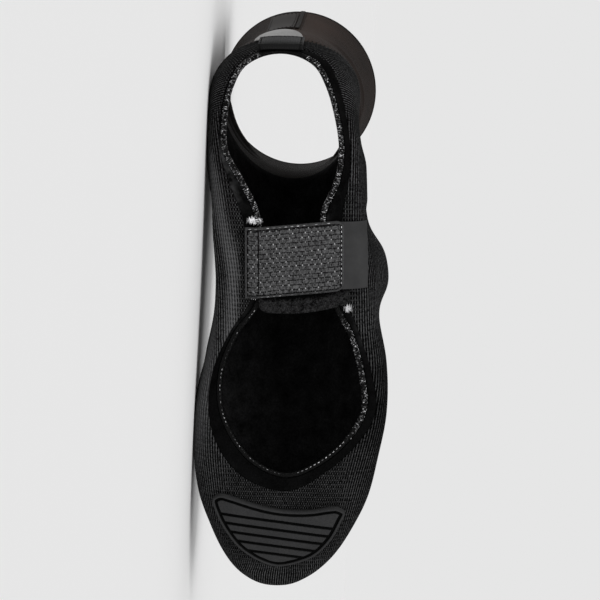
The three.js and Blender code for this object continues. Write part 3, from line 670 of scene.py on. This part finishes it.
turns = even_turns(opening_points, opening_girth + 1)[:-1]
side, top = loop_profile(36, 7)
spots = band(grown(opening_points, turns, binding_width + 0.05),
             grown(opening_points, turns, -0.1, 1.0), side)
facing_pulls = [
    # from (along, across), to (along, across), width, height
    ((52, 27), (90, 15), 1.6, 0.35), ((58, 31), (92, 19), 1.4, -0.35),
    ((48, 22), (80, 13), 1.3, -0.3), ((56, -24), (90, -17), 1.6, 0.3),
    ((128, 17), (160, 33), 1.6, 0.35), ((126, 21), (150, 35), 1.4, -0.3),
    ((130, -34), (162, -45), 1.6, 0.35), ((132, -30), (154, -39), 1.4, -0.3),
    ((150, 36), (196, 37), 1.5, 0.3),
]
puckers = facing_pucker * np.sin(2 * np.pi * turns * opening_girth / facing_pucker_pitch)
pulls = crease(spots[..., 0], spots[..., 1], facing_pulls)
drawn_up = puckers * (0.5 + 0.5 * side[:, None])**3 + pulls
lift = -facing_recess - facing_wall / 2 * (1 - top[:, None]) + drawn_up * (top[:, None] > 0)
points = wrapped(spots[..., 0], spots[..., 1], lift)
quads, _ = net(*points.shape[:2], closed_rows=True, closed_cols=True)
# Painted highlight: in four strips near the strap's ends the facing's colour is made lighter,
# mottled by clouds, as a gloss highlight.
painted_gloss = crease(spots[..., 0], spots[..., 1], [
    # from (along, across), to (along, across), width, strength
    ((36, 33), (92, 24), 5.0, 1.0), ((60, -28), (96, -18), 3.0, 0.5),
    ((126, 16), (156, 36), 3.0, 0.85), ((130, -36), (158, -46), 3.2, 0.8)])
facing_cloth, tree, shader = finish("coated_cloth", rough=0.42, shine=0.015)
fine = grain(tree, 1300)
clouds = grain(tree, 110, 4)
relief(tree, shader, added(tree, grain(tree, 90, 3), 3.0, fine), 0.12, 0.7)
tone = added(tree, clouds, 0.12, added(tree, fine, 0.12, -0.08))
painted_highlight = times(tree, mark(tree, "painted_gloss"), ranged(tree, clouds, 0.4, 0.62))
tone = added(tree, painted_highlight, 0.9, tone)
colours(tree, shader, tone, 0.0003, 0.045)
piece("facing", points, quads, [facing_cloth], ["sole_facing"], marks={"painted_gloss": painted_gloss})

# Binding: the opening's raw edge, closed by an overlock seam. Its glossy thread lies in slanting
# loops over a soft edge, dark, with many bright glints painted into the colour of edge and thread.
binding_mid, binding_half = -0.95, 1.0
side, top = loop_profile(24, 3)
spots = band(grown(opening_points, turns, 0.05),
             grown(opening_points, turns, binding_width - 0.2), side)
points = wrapped(spots[..., 0], spots[..., 1], binding_mid + binding_half * top[:, None])
quads, _ = net(*points.shape[:2], closed_rows=True, closed_cols=True)


def overlocked(along, across):
    """Where the overlock seam shows: all round the heel's part of the opening, and on the
    outer side of the ball's part. Elsewhere the edge is plain."""
    heel = fade(along, 96, -6) * ((along > 12) | (np.abs(across) > 12))
    ball = fade(along, 136, 6) * fade(along, 204, -12) * (across < 0)
    return np.maximum(heel, ball)


edge_core, tree, shader = finish("overlocked_edge", rough=0.4, shine=0.08)
# Painted glints: a few small cells are bright in the edge's colour where the overlock seam shows.
painted_glint_cells = cells(tree, 1500)
painted_glint_level = raised(tree, node(tree, "SeparateColor", {0: painted_glint_cells.outputs[1]}).outputs[0], 14.0)
colours(tree, shader, times(tree, painted_glint_level, mark(tree, "overlock")), 0.001, 0.7)
relief(tree, shader, painted_glint_cells.outputs[0], 0.4)
piece("binding", points, quads, [edge_core], ["opening_binding"],
      marks={"overlock": overlocked(spots[..., 0], spots[..., 1])})


def threads(paths, outs, radius, sides=5):
    """Thin tubes along many short lines at once: round each point of a line a ring of the
    radius, in the plane of the outward direction and the one square to the line. Both ends
    close in a point."""
    along = np.gradient(paths, axis=1)
    along /= np.linalg.norm(along, axis=-1, keepdims=True)
    side = np.cross(along, outs)
    side /= np.linalg.norm(side, axis=-1, keepdims=True)
    out = np.cross(side, along)
    angle = np.linspace(0, 2 * np.pi, sides, endpoint=False)
    taper = np.ones(paths.shape[1])
    taper[[0, -1]] = 0
    ring = (side[:, :, None] * np.cos(angle)[:, None] + out[:, :, None] * np.sin(angle)[:, None])
    points = paths[:, :, None] + ring * radius * taper[:, None, None]
    quads, _ = net(paths.shape[1], sides, closed_cols=True)
    per_thread = paths.shape[1] * sides
    quads = (quads + per_thread * np.arange(len(paths))[:, None, None]).reshape(-1, 4)
    return points.reshape(-1, 3), quads[:, ::-1], per_thread


def stitches(starts, ends, lift, radius, rise=0.12):
    """Short threads between pairs of pattern points, laid on the form. Each rises in its
    middle as half a sine, and dips in at its ends."""
    s = np.linspace(0, 1, 5)
    flat = starts[:, None] * (1 - s[:, None]) + ends[:, None] * s[:, None]
    height = np.reshape(lift, (-1, 1)) + rise * np.sin(np.pi * s)
    paths = wrapped(flat[..., 0], flat[..., 1], height)
    outs = wrapped(flat[..., 0], flat[..., 1], height + 1) - paths
    return threads(paths, outs, radius)


def dashes(line, pitch, share=0.55):
    """Starts and ends of a running stitch: a line of pattern points cut in equal pitches, with
    a share of each pitch on top."""
    run = run_along(line)
    count = max(int(run[-1] / pitch), 1)
    starts = np.arange(count) * run[-1] / count
    ends = starts + share * run[-1] / count
    return [np.stack([np.interp(at, run, line[:, k]) for k in (0, 1)], axis=-1)
            for at in (starts, ends)]


rng = np.random.default_rng(7)
loop_count = 470
loop_turns = even_turns(opening_points, loop_count + 1)[:-1]
loop_shape = [
    # outwards from the opening's edge, height
    (2.95, -0.15), (2.3, 0.25), (1.4, 0.32), (0.5, 0.25), (-0.05, -0.3), (-0.1, -1.0),
]
paths = []
for slant, shift in ((0.9, 0.0), (-0.7, 0.5)):
    centre = loop_turns + rng.normal(0, 0.0002, loop_count)
    steps = []
    for k, (growth, height) in enumerate(loop_shape):
        t = centre + (shift + slant * k / 5) / opening_girth
        at = grown(opening_points, t, growth)
        steps.append(wrapped(at[:, 0], at[:, 1], height + rng.normal(0, 0.05, loop_count)))
    paths.append(np.stack(steps, axis=1))
paths = np.concatenate(paths)
at = grown(opening_points, np.tile(loop_turns, 2), 1.4)
outs = paths - wrapped(at[:, 0], at[:, 1], -1.5)[:, None]
shown = overlocked(at[:, 0], at[:, 1]) > 0.5
points, quads, per_thread = threads(paths[shown], outs[shown], 0.16)
# Painted glints: each loop's parts get a random shine, which sets the thread's colour, a little
# lower on the ball's outer side.
shine = rng.random((shown.sum(), len(loop_shape)))**1.7 * np.where(at[shown, :1] > 130, 0.86, 1.0)
shine = np.repeat(shine.ravel(), per_thread // len(loop_shape))
# The shine mark sets the thread's colour from black to white: painted glints on dark thread.
glossy_thread_painted_glints, tree, shader = finish("glossy_thread_painted_glints", rough=0.35, shine=0.12)
colours(tree, shader, raised(tree, mark(tree, "shine"), 5.0), 0.001, 1.0)
relief(tree, shader, grain(tree, 2500), 0.1, 0.8)
piece("overlock_thread", points, quads, [glossy_thread_painted_glints], marks={"shine": shine})


def sewn(name, lines, radius=0.17):
    """Running stitches along several lines of pattern points. Each line has its pitch, its
    lift, which may depend on across, and the darkest and brightest shine of its thread; the shine
    is a painted glint in the thread's colour."""
    points, quads, shine, count = [], [], [], 0
    for line, pitch, lift, low, high in lines:
        starts, ends = dashes(np.array(line, float), pitch)
        height = lift(starts[:, 1]) if callable(lift) else lift
        made, faces, per_stitch = stitches(starts, ends, height, radius)
        points.append(made)
        quads.append(faces + count)
        shine.append(np.repeat(low + (high - low) * rng.random(len(starts)), per_stitch))
        count += len(made)
    return piece(name, np.concatenate(points), np.concatenate(quads), [glossy_thread_painted_glints],
                 marks={"shine": np.concatenate(shine)})


def edge_line(start, end, growth, low, high):
    """The part of the opening's edge between two turns whose along is within two limits."""
    line = grown(opening_points, np.linspace(start, end, 400), growth)
    return line[(line[:, 0] > low) & (line[:, 0] < high)]


sewn("edge_stitches", [
    (edge_line(0.0, 0.5, 0.9, 136, 300), 2.1, 0.0, 0.3, 0.9),
    (edge_line(0.5, 1.0, 0.9, 203, 222), 2.3, 0.0, 0.7, 1.0),
    (edge_line(0.5, 1.0, 2.6, 140, 205), 1.9, 0.0, 0.2, 0.9)], 0.15)

# Lower strap: a loop strap sewn to the outer side of the opening, brushed on its face. The
# upper strap closes on it, so only its bowed front edge and its sewn end show.
strap_width, strap_at, strap_skew = 38, 109, 5.5
strap_inner_end, strap_outer_end, strap_corner = 19, -30.5, 4
under_inner_end, under_outer_end, under_shift, under_bow = 12, -33, 8.5, 2.5
lower_lift, under_thickness, strap_thickness = 0.55, 1.5, 1.8
upper_lift = lower_lift + under_thickness + 0.3


def edge_steps(length, soft, step):
    """Places from 0 to a length: close together where the edge is rounded, then even."""
    near = soft * np.array([0, 0.03, 0.12, 0.28, 0.5, 0.75, 1.0])
    count = max(int((length - 2 * soft) / step), 1)
    even = np.linspace(soft, length - soft, count + 1)
    return np.concatenate([near[:-1], even, length - near[-2::-1]])


def slab(place, length, width, soft, step, thickness):
    """Upper and lower face of a flat piece with rounded edges, meeting in its rim. place gives
    points for (distance along, share across, lift); the lift follows a quarter circle in from
    each edge. width gives the width at each distance, for the rounding across."""
    u = edge_steps(length, soft, step)
    widths = np.broadcast_to(width(u) if callable(width) else width, u.shape)
    v = edge_steps(widths.max(), soft, step) / widths.max()
    u, v = u[:, None], v[None, :]
    from_side = np.minimum(v, 1 - v) * widths.max()

    def rounding(d):
        return np.sqrt(np.clip(1 - np.clip(1 - d / soft, 0, 1)**2, 0, 1))

    half = thickness / 2 * rounding(np.minimum(u, length - u)) * rounding(from_side)
    points = np.concatenate([place(u, v, thickness / 2 + sign * half).reshape(-1, 3)
                             for sign in (1, -1)])
    quads, _ = net(*half.shape)
    quads = np.concatenate([quads, quads[:, ::-1] + half.size])
    flat = np.stack(np.broadcast_arrays(u, v * widths[:, None]), axis=-1).reshape(-1, 2)
    return points, quads, (np.concatenate([flat, flat]), quads)


def strap_middle(across):
    """The strap leans: its middle moves along the sole as it goes across."""
    return strap_at + strap_skew * across / (strap_inner_end - strap_outer_end)


def corner_loss(distance, radius):
    """What a round corner takes off a strap's half width, a quarter circle from its end."""
    missing = np.clip(radius - distance, 0, radius)
    return radius - np.sqrt(radius**2 - missing**2)


def place_under(u, v, lift):
    """The lower strap: u from its outer to its inner end, v from its heel to its toe edge."""
    across = under_outer_end + u
    half = strap_width / 2 - 1 - corner_loss(under_inner_end - across, strap_corner)
    bow = under_bow * np.sin(np.pi * u / (under_inner_end - under_outer_end))
    along = strap_middle(across) + under_shift - half + v * (2 * half + bow)
    return wrapped(along, across, lower_lift + lift)


points, quads, flat = slab(place_under, under_inner_end - under_outer_end, strap_width - 2,
                           0.7, 1.0, under_thickness)
loop_pile, tree, shader = finish("loop_pile", rough=0.95, shine=0.02)
pile = times(tree, grain(tree, 1400, 4), grain(tree, 350, 4))
# Painted shadow: the pile is darker under the upper strap, at 0.3 of its brightness up to 27 mm
# from its heel edge, rising to full by 30.5 mm.
pile = times(tree, pile, ranged(tree, map_place(tree)[1], 27.0, 30.5, 0.3, 1.0))
colours(tree, shader, pile, 0.001, 0.035, 0.15, 0.42)
relief(tree, shader, pile, 0.6)
piece("lower_strap", points, quads, [loop_pile], ["strap_under"], {"flat": flat})

# Strap: woven hook tape, quilted with rows of stitches, sewn to the inner side of the opening
# and pressed on the lower strap. Its free end has round corners and a bright seam.
strap_drop = 5


def strap_height(across):
    """The upper strap's underside: on the lower strap, and a layer lower past its end."""
    past = (under_inner_end + 1 + strap_drop - across) / strap_drop
    return lower_lift + (upper_lift - lower_lift) * eased(past)


def place_strap(u, v, lift):
    """The strap: u from its free to its sewn end, v from its heel to its toe edge."""
    across = strap_outer_end + u
    half = strap_width / 2 - corner_loss(u, strap_corner)
    along = strap_middle(across) + (2 * v - 1) * half
    return wrapped(along, across, strap_height(across) + lift)


def border_distance(tree, length, width):
    """Distance to a flat piece's nearest edge, from its own map in millimetres."""
    ways = (node(tree, "Math", {0: way, 1: size / 2}, operation="PINGPONG")
            for way, size in zip(map_place(tree), (length, width)))
    return node(tree, "Math", dict(enumerate(ways)), operation="MINIMUM")


def line_at(tree, distance, inset, half_width):
    """1 within a half width of a line that runs at an inset from the edge, 0 elsewhere."""
    return node(tree, "Math", {0: distance, 1: inset, 2: half_width}, operation="COMPARE")


strap_length = strap_inner_end - strap_outer_end
points, quads, flat = slab(place_strap, strap_length, strap_width, 0.6, 0.7, strap_thickness)
hook_tape, tree, shader = finish("hook_tape", rough=0.7, shine=0.05)
knot_pitch, row_pitch, sewn_place, line_half = 3.2, 2.5, 42.4, 0.35
from_end, from_side = map_place(tree)
wander = grain(tree, 90, 1)
out, down = added(tree, wander, 0.6, from_end), added(tree, wander, 0.8, from_side)
bricks = node(tree, "TexBrick", {
    "Vector": node(tree, "CombineXYZ", {0: out, 1: down}).outputs[0], "Scale": 1.0,
    "Mortar Size": 0.3, "Mortar Smooth": 0.6, "Brick Width": knot_pitch, "Row Height": row_pitch,
    "Color1": (1, 1, 1, 1), "Color2": (0.75, 0.75, 0.75, 1), "Mortar": (0, 0, 0, 1)})
speckle = ranged(tree, grain(tree, 1100, 3), 0.32, 0.7)
row_lines = raised(tree, wave(tree, down, row_pitch), 14.0)
knots = times(tree, *(wave(tree, added(tree, down, slope, out), knot_pitch)
                      for slope in (0.64, -0.64)))
border = border_distance(tree, strap_length, strap_width)
seam = line_at(tree, border, 1.5, line_half)
sewn_line = line_at(tree, from_end, sewn_place, line_half)
tone = added(tree, speckle, 1.05, added(tree, bricks.outputs[0], 0.42, -0.2))
tone = added(tree, row_lines, -0.35, tone)
uneven = ranged(tree, grain(tree, 420, 2), 0.42, 0.62)
tone = added(tree, times(tree, raised(tree, knots, 9.0), uneven), 6.5, tone)
tone = added(tree, sewn_line, -0.7, tone)
tone = blended(tree, ranged(tree, border, 1.0, 1.5), 0.5, tone)
tone = added(tree, seam, -0.6, tone)
colours(tree, shader, tone, 0.001, 0.8, 0.0, 7.2)
relief(tree, shader, added(tree, seam, -1.0, added(tree, bricks.outputs[0], 1.0, speckle)), 0.35)
piece("strap_tape", points, quads, [hook_tape], ["strap"], {"flat": flat})


def strap_line(across, place):
    """Pattern points on the strap at a share of its half width from its middle."""
    across = np.linspace(*across, 60) if isinstance(across, tuple) else np.full(60, float(across))
    place = np.linspace(*place, 60) if isinstance(place, tuple) else place
    return np.stack([strap_middle(across) + place * strap_width / 2, across], axis=-1)


def strap_top(across):
    """The strap's upper face, a little sunk where it is sewn."""
    return strap_height(across) + strap_thickness - 0.05


sewn("strap_seams", [
    (strap_line(-29.2, (-0.86, 0.86)), 2.5, strap_top, 0.8, 1.0),
    (strap_line((-27, 18.4), -0.97), 2.9, strap_top, 0.5, 0.95),
    (strap_line((-27, 18.4), 0.97), 2.9, strap_top, 0.3, 0.8),
    (strap_line(14.6, (-0.9, 0.9)), 2.5, strap_top, 0.3, 0.9)], 0.17)

# Bartacks: dense, uneven zigzags of glossy thread that hold the strap's two ends on the
# facing. The threads are sewn over each other, and their colour is bright in patches: a painted
# highlight.
bartacks = [
    # along, across, length along, width across, rows, painted glint level
    (86.2, 14.2, 5.4, 7.8, 44, 1.0), (131.6, -33.0, 5.6, 4.4, 22, 0.9),
    (129.6, 13.8, 1.2, 6.0, 7, 0.95),
]
starts, ends, shine = [], [], []
for along, across, length, width, count, painted_glint_level in bartacks:
    u = np.linspace(-1, 1, count) + rng.normal(0, 0.05, count)
    reach = length * (1 - 0.35 * np.abs(u)) * rng.uniform(0.75, 1.1, count)
    middle = along + length / 2 + rng.normal(0, 0.35, count)
    slant = rng.normal(0, 0.5, count)
    for tips, way in ((starts, -1), (ends, 1)):
        tips.append(np.stack([middle + way * reach / 2, across + u * width / 2 + way * slant],
                             axis=-1))
    painted_patches = 1.25 - 0.4 * u[:, None]**2 - 0.35 * rng.random((count, 5))
    shine.append(painted_glint_level * np.clip(painted_patches, 0, 1))
points, quads, per_stitch = stitches(np.concatenate(starts), np.concatenate(ends),
                                     -0.25, 0.17, 0.28)
shine = np.repeat(np.concatenate(shine).ravel(), per_stitch // 5)
piece("bartacks", points, quads, [glossy_thread_painted_glints], marks={"shine": shine})

# Strap tab: a stiff, smooth film tab welded to the strap's free end, left bare.
tab_length, tab_thickness, tab_inset = 10.5, 1.0, 0.75


def place_tab(u, v, lift):
    """The tab: u from its free end to the strap, v from its heel to its toe edge."""
    across = strap_outer_end - 0.3 - tab_length + u
    half = strap_width / 2 - tab_inset
    along = strap_middle(strap_outer_end) + (2 * v - 1) * half
    return wrapped(along, across, upper_lift + (strap_thickness - tab_thickness) / 2 + lift)


points, quads, flat = slab(place_tab, tab_length + 3, strap_width - 2 * tab_inset, 0.35, 0.8,
                           tab_thickness)
tab_film, tree, shader = finish("tab_film", rough=0.5, shine=0.1)
colours(tree, shader, grain(tree, 120, 4), 0.026, 0.036, 0.3, 0.7)
relief(tree, shader, grain(tree, 1800), 0.04, 0.6)
piece("strap_pull_tab", points, quads, [tab_film], ["strap_tab"], {"flat": flat})

# Toe pad: one moulded piece of matte rubber, bonded over the knit, with a raised rim, a
# groove inside it and five slanting grooves for wear in front of a plain land.
pad_thickness, pad_rim, pad_rim_groove = 2.6, 1.8, 1.1
pad_groove_depth, pad_groove_width, pad_groove_pitch = 1.1, 1.1, 4.7
pad_groove_count, pad_groove_slope, pad_first_groove = 5, 0.122, 6.9
pad_table = [
    # back along, back across, front along, front across
    [0.8085, 0.322, 0.847, 0.344], [0.8125, 0.262, 0.883, 0.292],
    [0.821, 0.183, 0.914, 0.223], [0.829, 0.101, 0.938, 0.122],
    [0.834, 0.02, 0.948, 0.03], [0.836, -0.071, 0.941, -0.071],
    [0.834, -0.162, 0.924, -0.172], [0.829, -0.243, 0.893, -0.254],
    [0.8285, -0.288, 0.858, -0.307],
]
pad_inner, pad_outer = [0.8185, 0.363], [0.838, -0.328]
pad_points = ring_points(pad_inner, pad_table, ([2, 3], [0, 1]), pad_outer,
                         [shoe_length, ball_width])
pad_points = np.column_stack([pad_points, np.zeros(len(pad_points))])
forth = even_turns(pad_points, 230, 0.0, 0.5)
back = even_turns(pad_points, 230, 1.0, 0.5)
front_line, back_line = outline(pad_points, forth % 1)[:, :2], outline(pad_points, back % 1)[:, :2]
q = np.linspace(0, 1, 111)[:, None, None]
spots = back_line * (1 - q) + front_line * q
rim_line = outline(pad_points, np.linspace(0, 1, 420, endpoint=False))[:, :2]
to_rim = spots[:, :, None].astype(np.float32) - rim_line.astype(np.float32)
inward = np.min(np.linalg.norm(to_rim, axis=-1), axis=-1)
inward[[0, -1], :] = 0
inward[:, [0, -1]] = 0


def channel(distance, width):
    """A groove with a round floor and soft shoulders: 1 in its middle, 0 outside it."""
    return np.clip(1.25 - (2 * np.abs(distance) / width)**2, 0, 1)


pad_lift, pad_soft_edge, land_drop, shoulder = 0.3, 0.7, 0.15, 0.45
first = pad_table[4][0] * shoe_length + pad_first_groove
order = (spots[..., 0] + pad_groove_slope * spots[..., 1] - first) / pad_groove_pitch
nearest = np.clip(np.round(order), 0, pad_groove_count - 1)
past_rim = inward - pad_rim - pad_rim_groove / 2
slanted = channel((order - nearest) * pad_groove_pitch, pad_groove_width + shoulder)
grooves = np.maximum(channel(past_rim, pad_rim_groove + 0.4), slanted * fade(past_rim, 0, 0.4))
bead = np.clip(1 - (np.abs(inward - pad_rim / 2) / (pad_rim / 2))**3, 0, 1)
crest = 0.86 + 0.14 * np.maximum(bead, inward > pad_rim)
top = pad_lift + pad_thickness * np.sqrt(fade(inward, 0, pad_soft_edge)) * crest
top = top - pad_groove_depth * grooves - land_drop * (inward > pad_rim)
points = np.concatenate([wrapped(spots[..., 0], spots[..., 1], lift).reshape(-1, 3)
                         for lift in (top, np.where(inward > 0, 0.1, pad_lift))])
quads, _ = net(*top.shape)
quads = np.concatenate([quads[:, ::-1], quads + top.size])
pad_rubber, tree, shader = finish("pad_rubber", rough=0.6, shine=0.05)
fine = grain(tree, 1600, 3)
# Painted shade: in the grooves the colour is made darker by the depth mark.
tone = added(tree, mark(tree, "depth"), -1.7, added(tree, grain(tree, 60, 4), 0.5, fine))
colours(tree, shader, tone, 0.0002, 0.042, -0.1, 1.15)
relief(tree, shader, fine, 0.06, 0.7)
piece("toe_rubber", points, quads, [pad_rubber], ["toe_pad"],
      marks={"depth": np.concatenate([grooves.ravel(), np.zeros(top.size)])})

# Heel tab: a folded piece of webbing sewn up the back of the heel from the opening's edge.
tab_start = opening_back[0] * shoe_length - 0.4
heel_tab_width, heel_tab_height, heel_tab_thickness, heel_tab_shift = 22.5, 16, 1.6, 2


def place_heel_tab(u, v, lift):
    """The heel tab: u across from its outer to its inner side, v down to the opening."""
    across = heel_tab_shift - heel_tab_width / 2 + u
    along = tab_start - heel_tab_height * (1 - v)
    roll = 1.3 * np.exp(-((tab_start - 1.3 - along) / 1.1)**2) * (lift > heel_tab_thickness / 2)
    return wrapped(along, across, lower_lift + lift + roll)


points, quads, flat = slab(place_heel_tab, heel_tab_width, heel_tab_height, 0.6, 0.6,
                           heel_tab_thickness)
tab_webbing, tree, shader = finish("tab_webbing", rough=0.6, shine=0.06)
out, down = map_place(tree)
woven = times(tree, wave(tree, out, 1.2), wave(tree, down, 0.8))
seam = line_at(tree, border_distance(tree, heel_tab_width, 2 * heel_tab_height - 6), 1.4, 0.4)
tone = added(tree, seam, -0.9, added(tree, grain(tree, 1400), 1.2, added(tree, woven, 0.5, 0.25)))
# Painted shade: from 7 mm down, the webbing darkens towards the opening, to a fifth by 12.5 mm,
# over its rolled edge.
tone = times(tree, tone, ranged(tree, down, 7.0, 12.5, 1.05, 0.2))
colours(tree, shader, tone, 0.004, 0.075, 0.1, 1.5)
relief(tree, shader, tone, 0.3)
piece("heel_webbing", points, quads, [tab_webbing], ["heel_tab"], {"flat": flat})


def sewn_round(near, far, middle, width, past, *thread):
    """Lines for sewn round a patch: one along each side, which runs on past its far end, and
    one across each end. thread is the pitch, the lift and the two shines."""
    left, right = middle - width / 2, middle + width / 2
    return [([start, end], *thread) for start, end in (
        ((near, left), (far + past, left)), ((near, right), (far + past, right)),
        ((near, left), (near, right)), ((far, left), (far, right)))]


seam_inset = 1.6
sewn("heel_tab_seam", sewn_round(
    tab_start - seam_inset, tab_start - heel_tab_height + seam_inset, heel_tab_shift,
    heel_tab_width - 2.4, -0.4, 1.9, lower_lift + heel_tab_thickness, 0.0, 0.5))

# Cuff: a smooth, satin stretch fabric, one layer, sewn to the knit by a slanting flat seam. It
# gathers in a few soft waves over the instep and behind the heel.
cuff_wall, cuff_recess, edge_height = 1.0, 0.3, 2
rim_row = row_of(along_of(last_row) + edge_height)
cuff_folds = [
    # from (along, across), to (along, across), width, height
    ((-40, 68), (-70, 120), 4.6, 1.7),
    ((-40, -68), (-70, -120), 4.6, -1.9),
    ((-56, 58), (-92, 112), 5.0, -2.1),
    ((-56, -60), (-96, -114), 5.0, 1.7),
    ((-70, 16), (-78, 84), 4.6, -1.4),
    ((-68, -22), (-80, -88), 4.6, -1.6),
    ((-90, -10), (-98, -80), 5.0, 1.2),
]
alongs = np.linspace(along_of(seam_row), along_of(rim_row), 110)[:, None]
rows = row_of(alongs)
inner_girth, outer_girth = girths(rows)
around = np.linspace(0, 1, 220, endpoint=False)[None, :] * (inner_girth + outer_girth)
signed = np.where(around > inner_girth, around - inner_girth - outer_girth, around)
seam_dip, painted_sheen_at, painted_sheen_width = 0.5, -8, 17
seam_pull = -seam_dip * np.exp(-((alongs[0] - alongs) / 1.6)**2)
points = lifted(rows, around, crease(alongs, signed, cuff_folds) + seam_pull - cuff_recess)
quads, map_quads = net(*around.shape, closed_cols=True)
map_around = np.linspace(0, 1, 221)[None, :] * (inner_girth + outer_girth)
flat = np.stack(np.broadcast_arrays(map_around, alongs), axis=-1)
satin, tree, shader = finish("stretch_satin", rough=0.6, shine=0.04)
out, down = map_place(tree)
knitted = added(tree, wave(tree, out, 0.6), 1.0, wave(tree, down, 0.5))
# Painted sheen: the satin's colour is paler round the back, where the back mark is high.
tone = added(tree, mark(tree, "back"), 0.75, added(tree, knitted, 0.2, grain(tree, 40, 4)))
colours(tree, shader, tone, (0.0075, 0.0058, 0.0054), (0.038, 0.026, 0.0212), 0.35, 1.6)
relief(tree, shader, knitted, 0.08, 0.5)
cuff = piece("stretch_cuff", points, quads, [satin, lining], ["cuff"],
             {"flat": (flat, map_quads)}, {"back": np.exp(-((signed - painted_sheen_at) / painted_sheen_width)**2)})
walled(cuff, cuff_wall)
seam_along = float(along_of(seam_row))
inner_girth, outer_girth = girths(seam_row)
seam_round = np.linspace(-outer_girth, inner_girth, 400)
sewn("ankle_seam", [
    (np.column_stack([np.full(400, seam_along - gap), seam_round]), 2.3, 0.02 - cuff_recess,
     0.25, 0.5) for gap in (1.6, 4.2)])

# Cuff edge: the mouth's turned and bonded hem, a soft dark bead round the collar.
bead_half = 0.8
side, top = loop_profile(20, 3)
turns_round = np.linspace(0, 1, 300, endpoint=False)[None, :]
heights = along_of(last_row) + edge_height / 2 * (1 - side)
rows = row_of(heights)[:, None]
inner_girth, outer_girth = girths(rows)
around = turns_round * (inner_girth + outer_girth)
points = lifted(rows, around, bead_half * (top[:, None] - 1))
quads, _ = net(*around.shape, closed_rows=True, closed_cols=True)
bonded_hem, tree, shader = finish("bonded_hem", rough=0.55, shine=0.08)
fine = grain(tree, 900, 3)
colours(tree, shader, fine, (0.003, 0.0028, 0.0027), (0.012, 0.011, 0.0107), 0.3, 0.7)
relief(tree, shader, fine, 0.1, 0.6)
piece("cuff_hem", points, quads, [bonded_hem], ["cuff_edge"])

# Reflector: a half-round patch of reflective film, heat-bonded over the seam at the heel.
reflector_width, reflector_height, reflector_shift = 25, 27, 4.3
patch_thickness, patch_low = 0.6, 0.1


def place_reflector(u, v, lift):
    """The half-round patch: u from its straight edge to its tip, v from side to side."""
    turn = np.arcsin(np.clip(u / reflector_height, 0, 1))
    across = reflector_shift + (2 * v - 1) * reflector_width / 2 * np.cos(turn)
    return wrapped(seam_along - 1 - u, across, patch_low + lift)


points, quads, _ = slab(place_reflector, reflector_height, reflector_width, 0.3, 0.5,
                        patch_thickness)
film, tree, shader = finish("reflective_film", rough=0.4, metal=0.2, shine=0.4)
beads = cells(tree, 1500).outputs[0]
tone = added(tree, beads, 0.8, added(tree, grain(tree, 90, 4), 1.2, -0.3))
colours(tree, shader, tone, (0.12, 0.118, 0.116), (0.26, 0.256, 0.252), 0.2, 1.0)
relief(tree, shader, tone, 0.06, 0.6)
piece("heel_reflective_patch", points, quads[:, ::-1], [film], ["heel_reflector"])

# Label patch and back seam: a bare film patch with stitched edges beside the flat, taped
# seam that closes the cuff up its back.
label_width, label_height, label_drop, label_shift = 15, 42, 6, 9.6
seam_width, seam_shift = 2.4, 0.4
rim_along = float(along_of(last_row))
label_top = rim_along + edge_height + label_drop


def back_patch(top, length, middle, width):
    """A slab at the back of the cuff: u across it from its outer side, v from the collar down."""
    def place(u, v, lift):
        return wrapped(top + length * v, middle - width / 2 + u, patch_low + lift)

    return slab(place, width, length, 0.3, 0.7, patch_thickness)


points, quads, flat = back_patch(label_top, label_height, label_shift, label_width)
label_film, tree, shader = finish("label_film", rough=0.55, shine=0.08)
clouds = grain(tree, 150, 4)
colours(tree, shader, clouds, (0.0115, 0.0095, 0.0088), (0.024, 0.0193, 0.0176), 0.3, 0.7)
relief(tree, shader, clouds, 0.1, 0.4)
piece("cuff_label_patch", points, quads, [label_film], ["cuff_label"], {"flat": flat})

tape_top = rim_along + edge_height + 0.3
tape_length = label_top + label_height + 0.3 - tape_top
points, quads, flat = back_patch(tape_top, tape_length, seam_shift, seam_width)
seam_tape, tree, shader = finish("seam_tape", rough=0.6, shine=0.08)
woven = wave(tree, map_place(tree)[1], 0.9)
colours(tree, shader, woven, (0.004, 0.0034, 0.0032), (0.016, 0.0132, 0.0123))
relief(tree, shader, woven, 0.1, 0.7)
piece("cuff_seam_tape", points, quads, [seam_tape], ["cuff_back_seam"], {"flat": flat})
stitch_inset, stitch_place = 1, seam_shift - 2.2
sewn("back_seam_stitches", [
    *sewn_round(label_top + stitch_inset, label_top + label_height - stitch_inset, label_shift,
                label_width - 2 * stitch_inset, 0, 2.0, patch_low + patch_thickness, 0.1, 0.45),
    ([(tape_top + 1, stitch_place), (tape_top + 50, stitch_place)], 1.8, -0.3, 0.2, 0.5)])
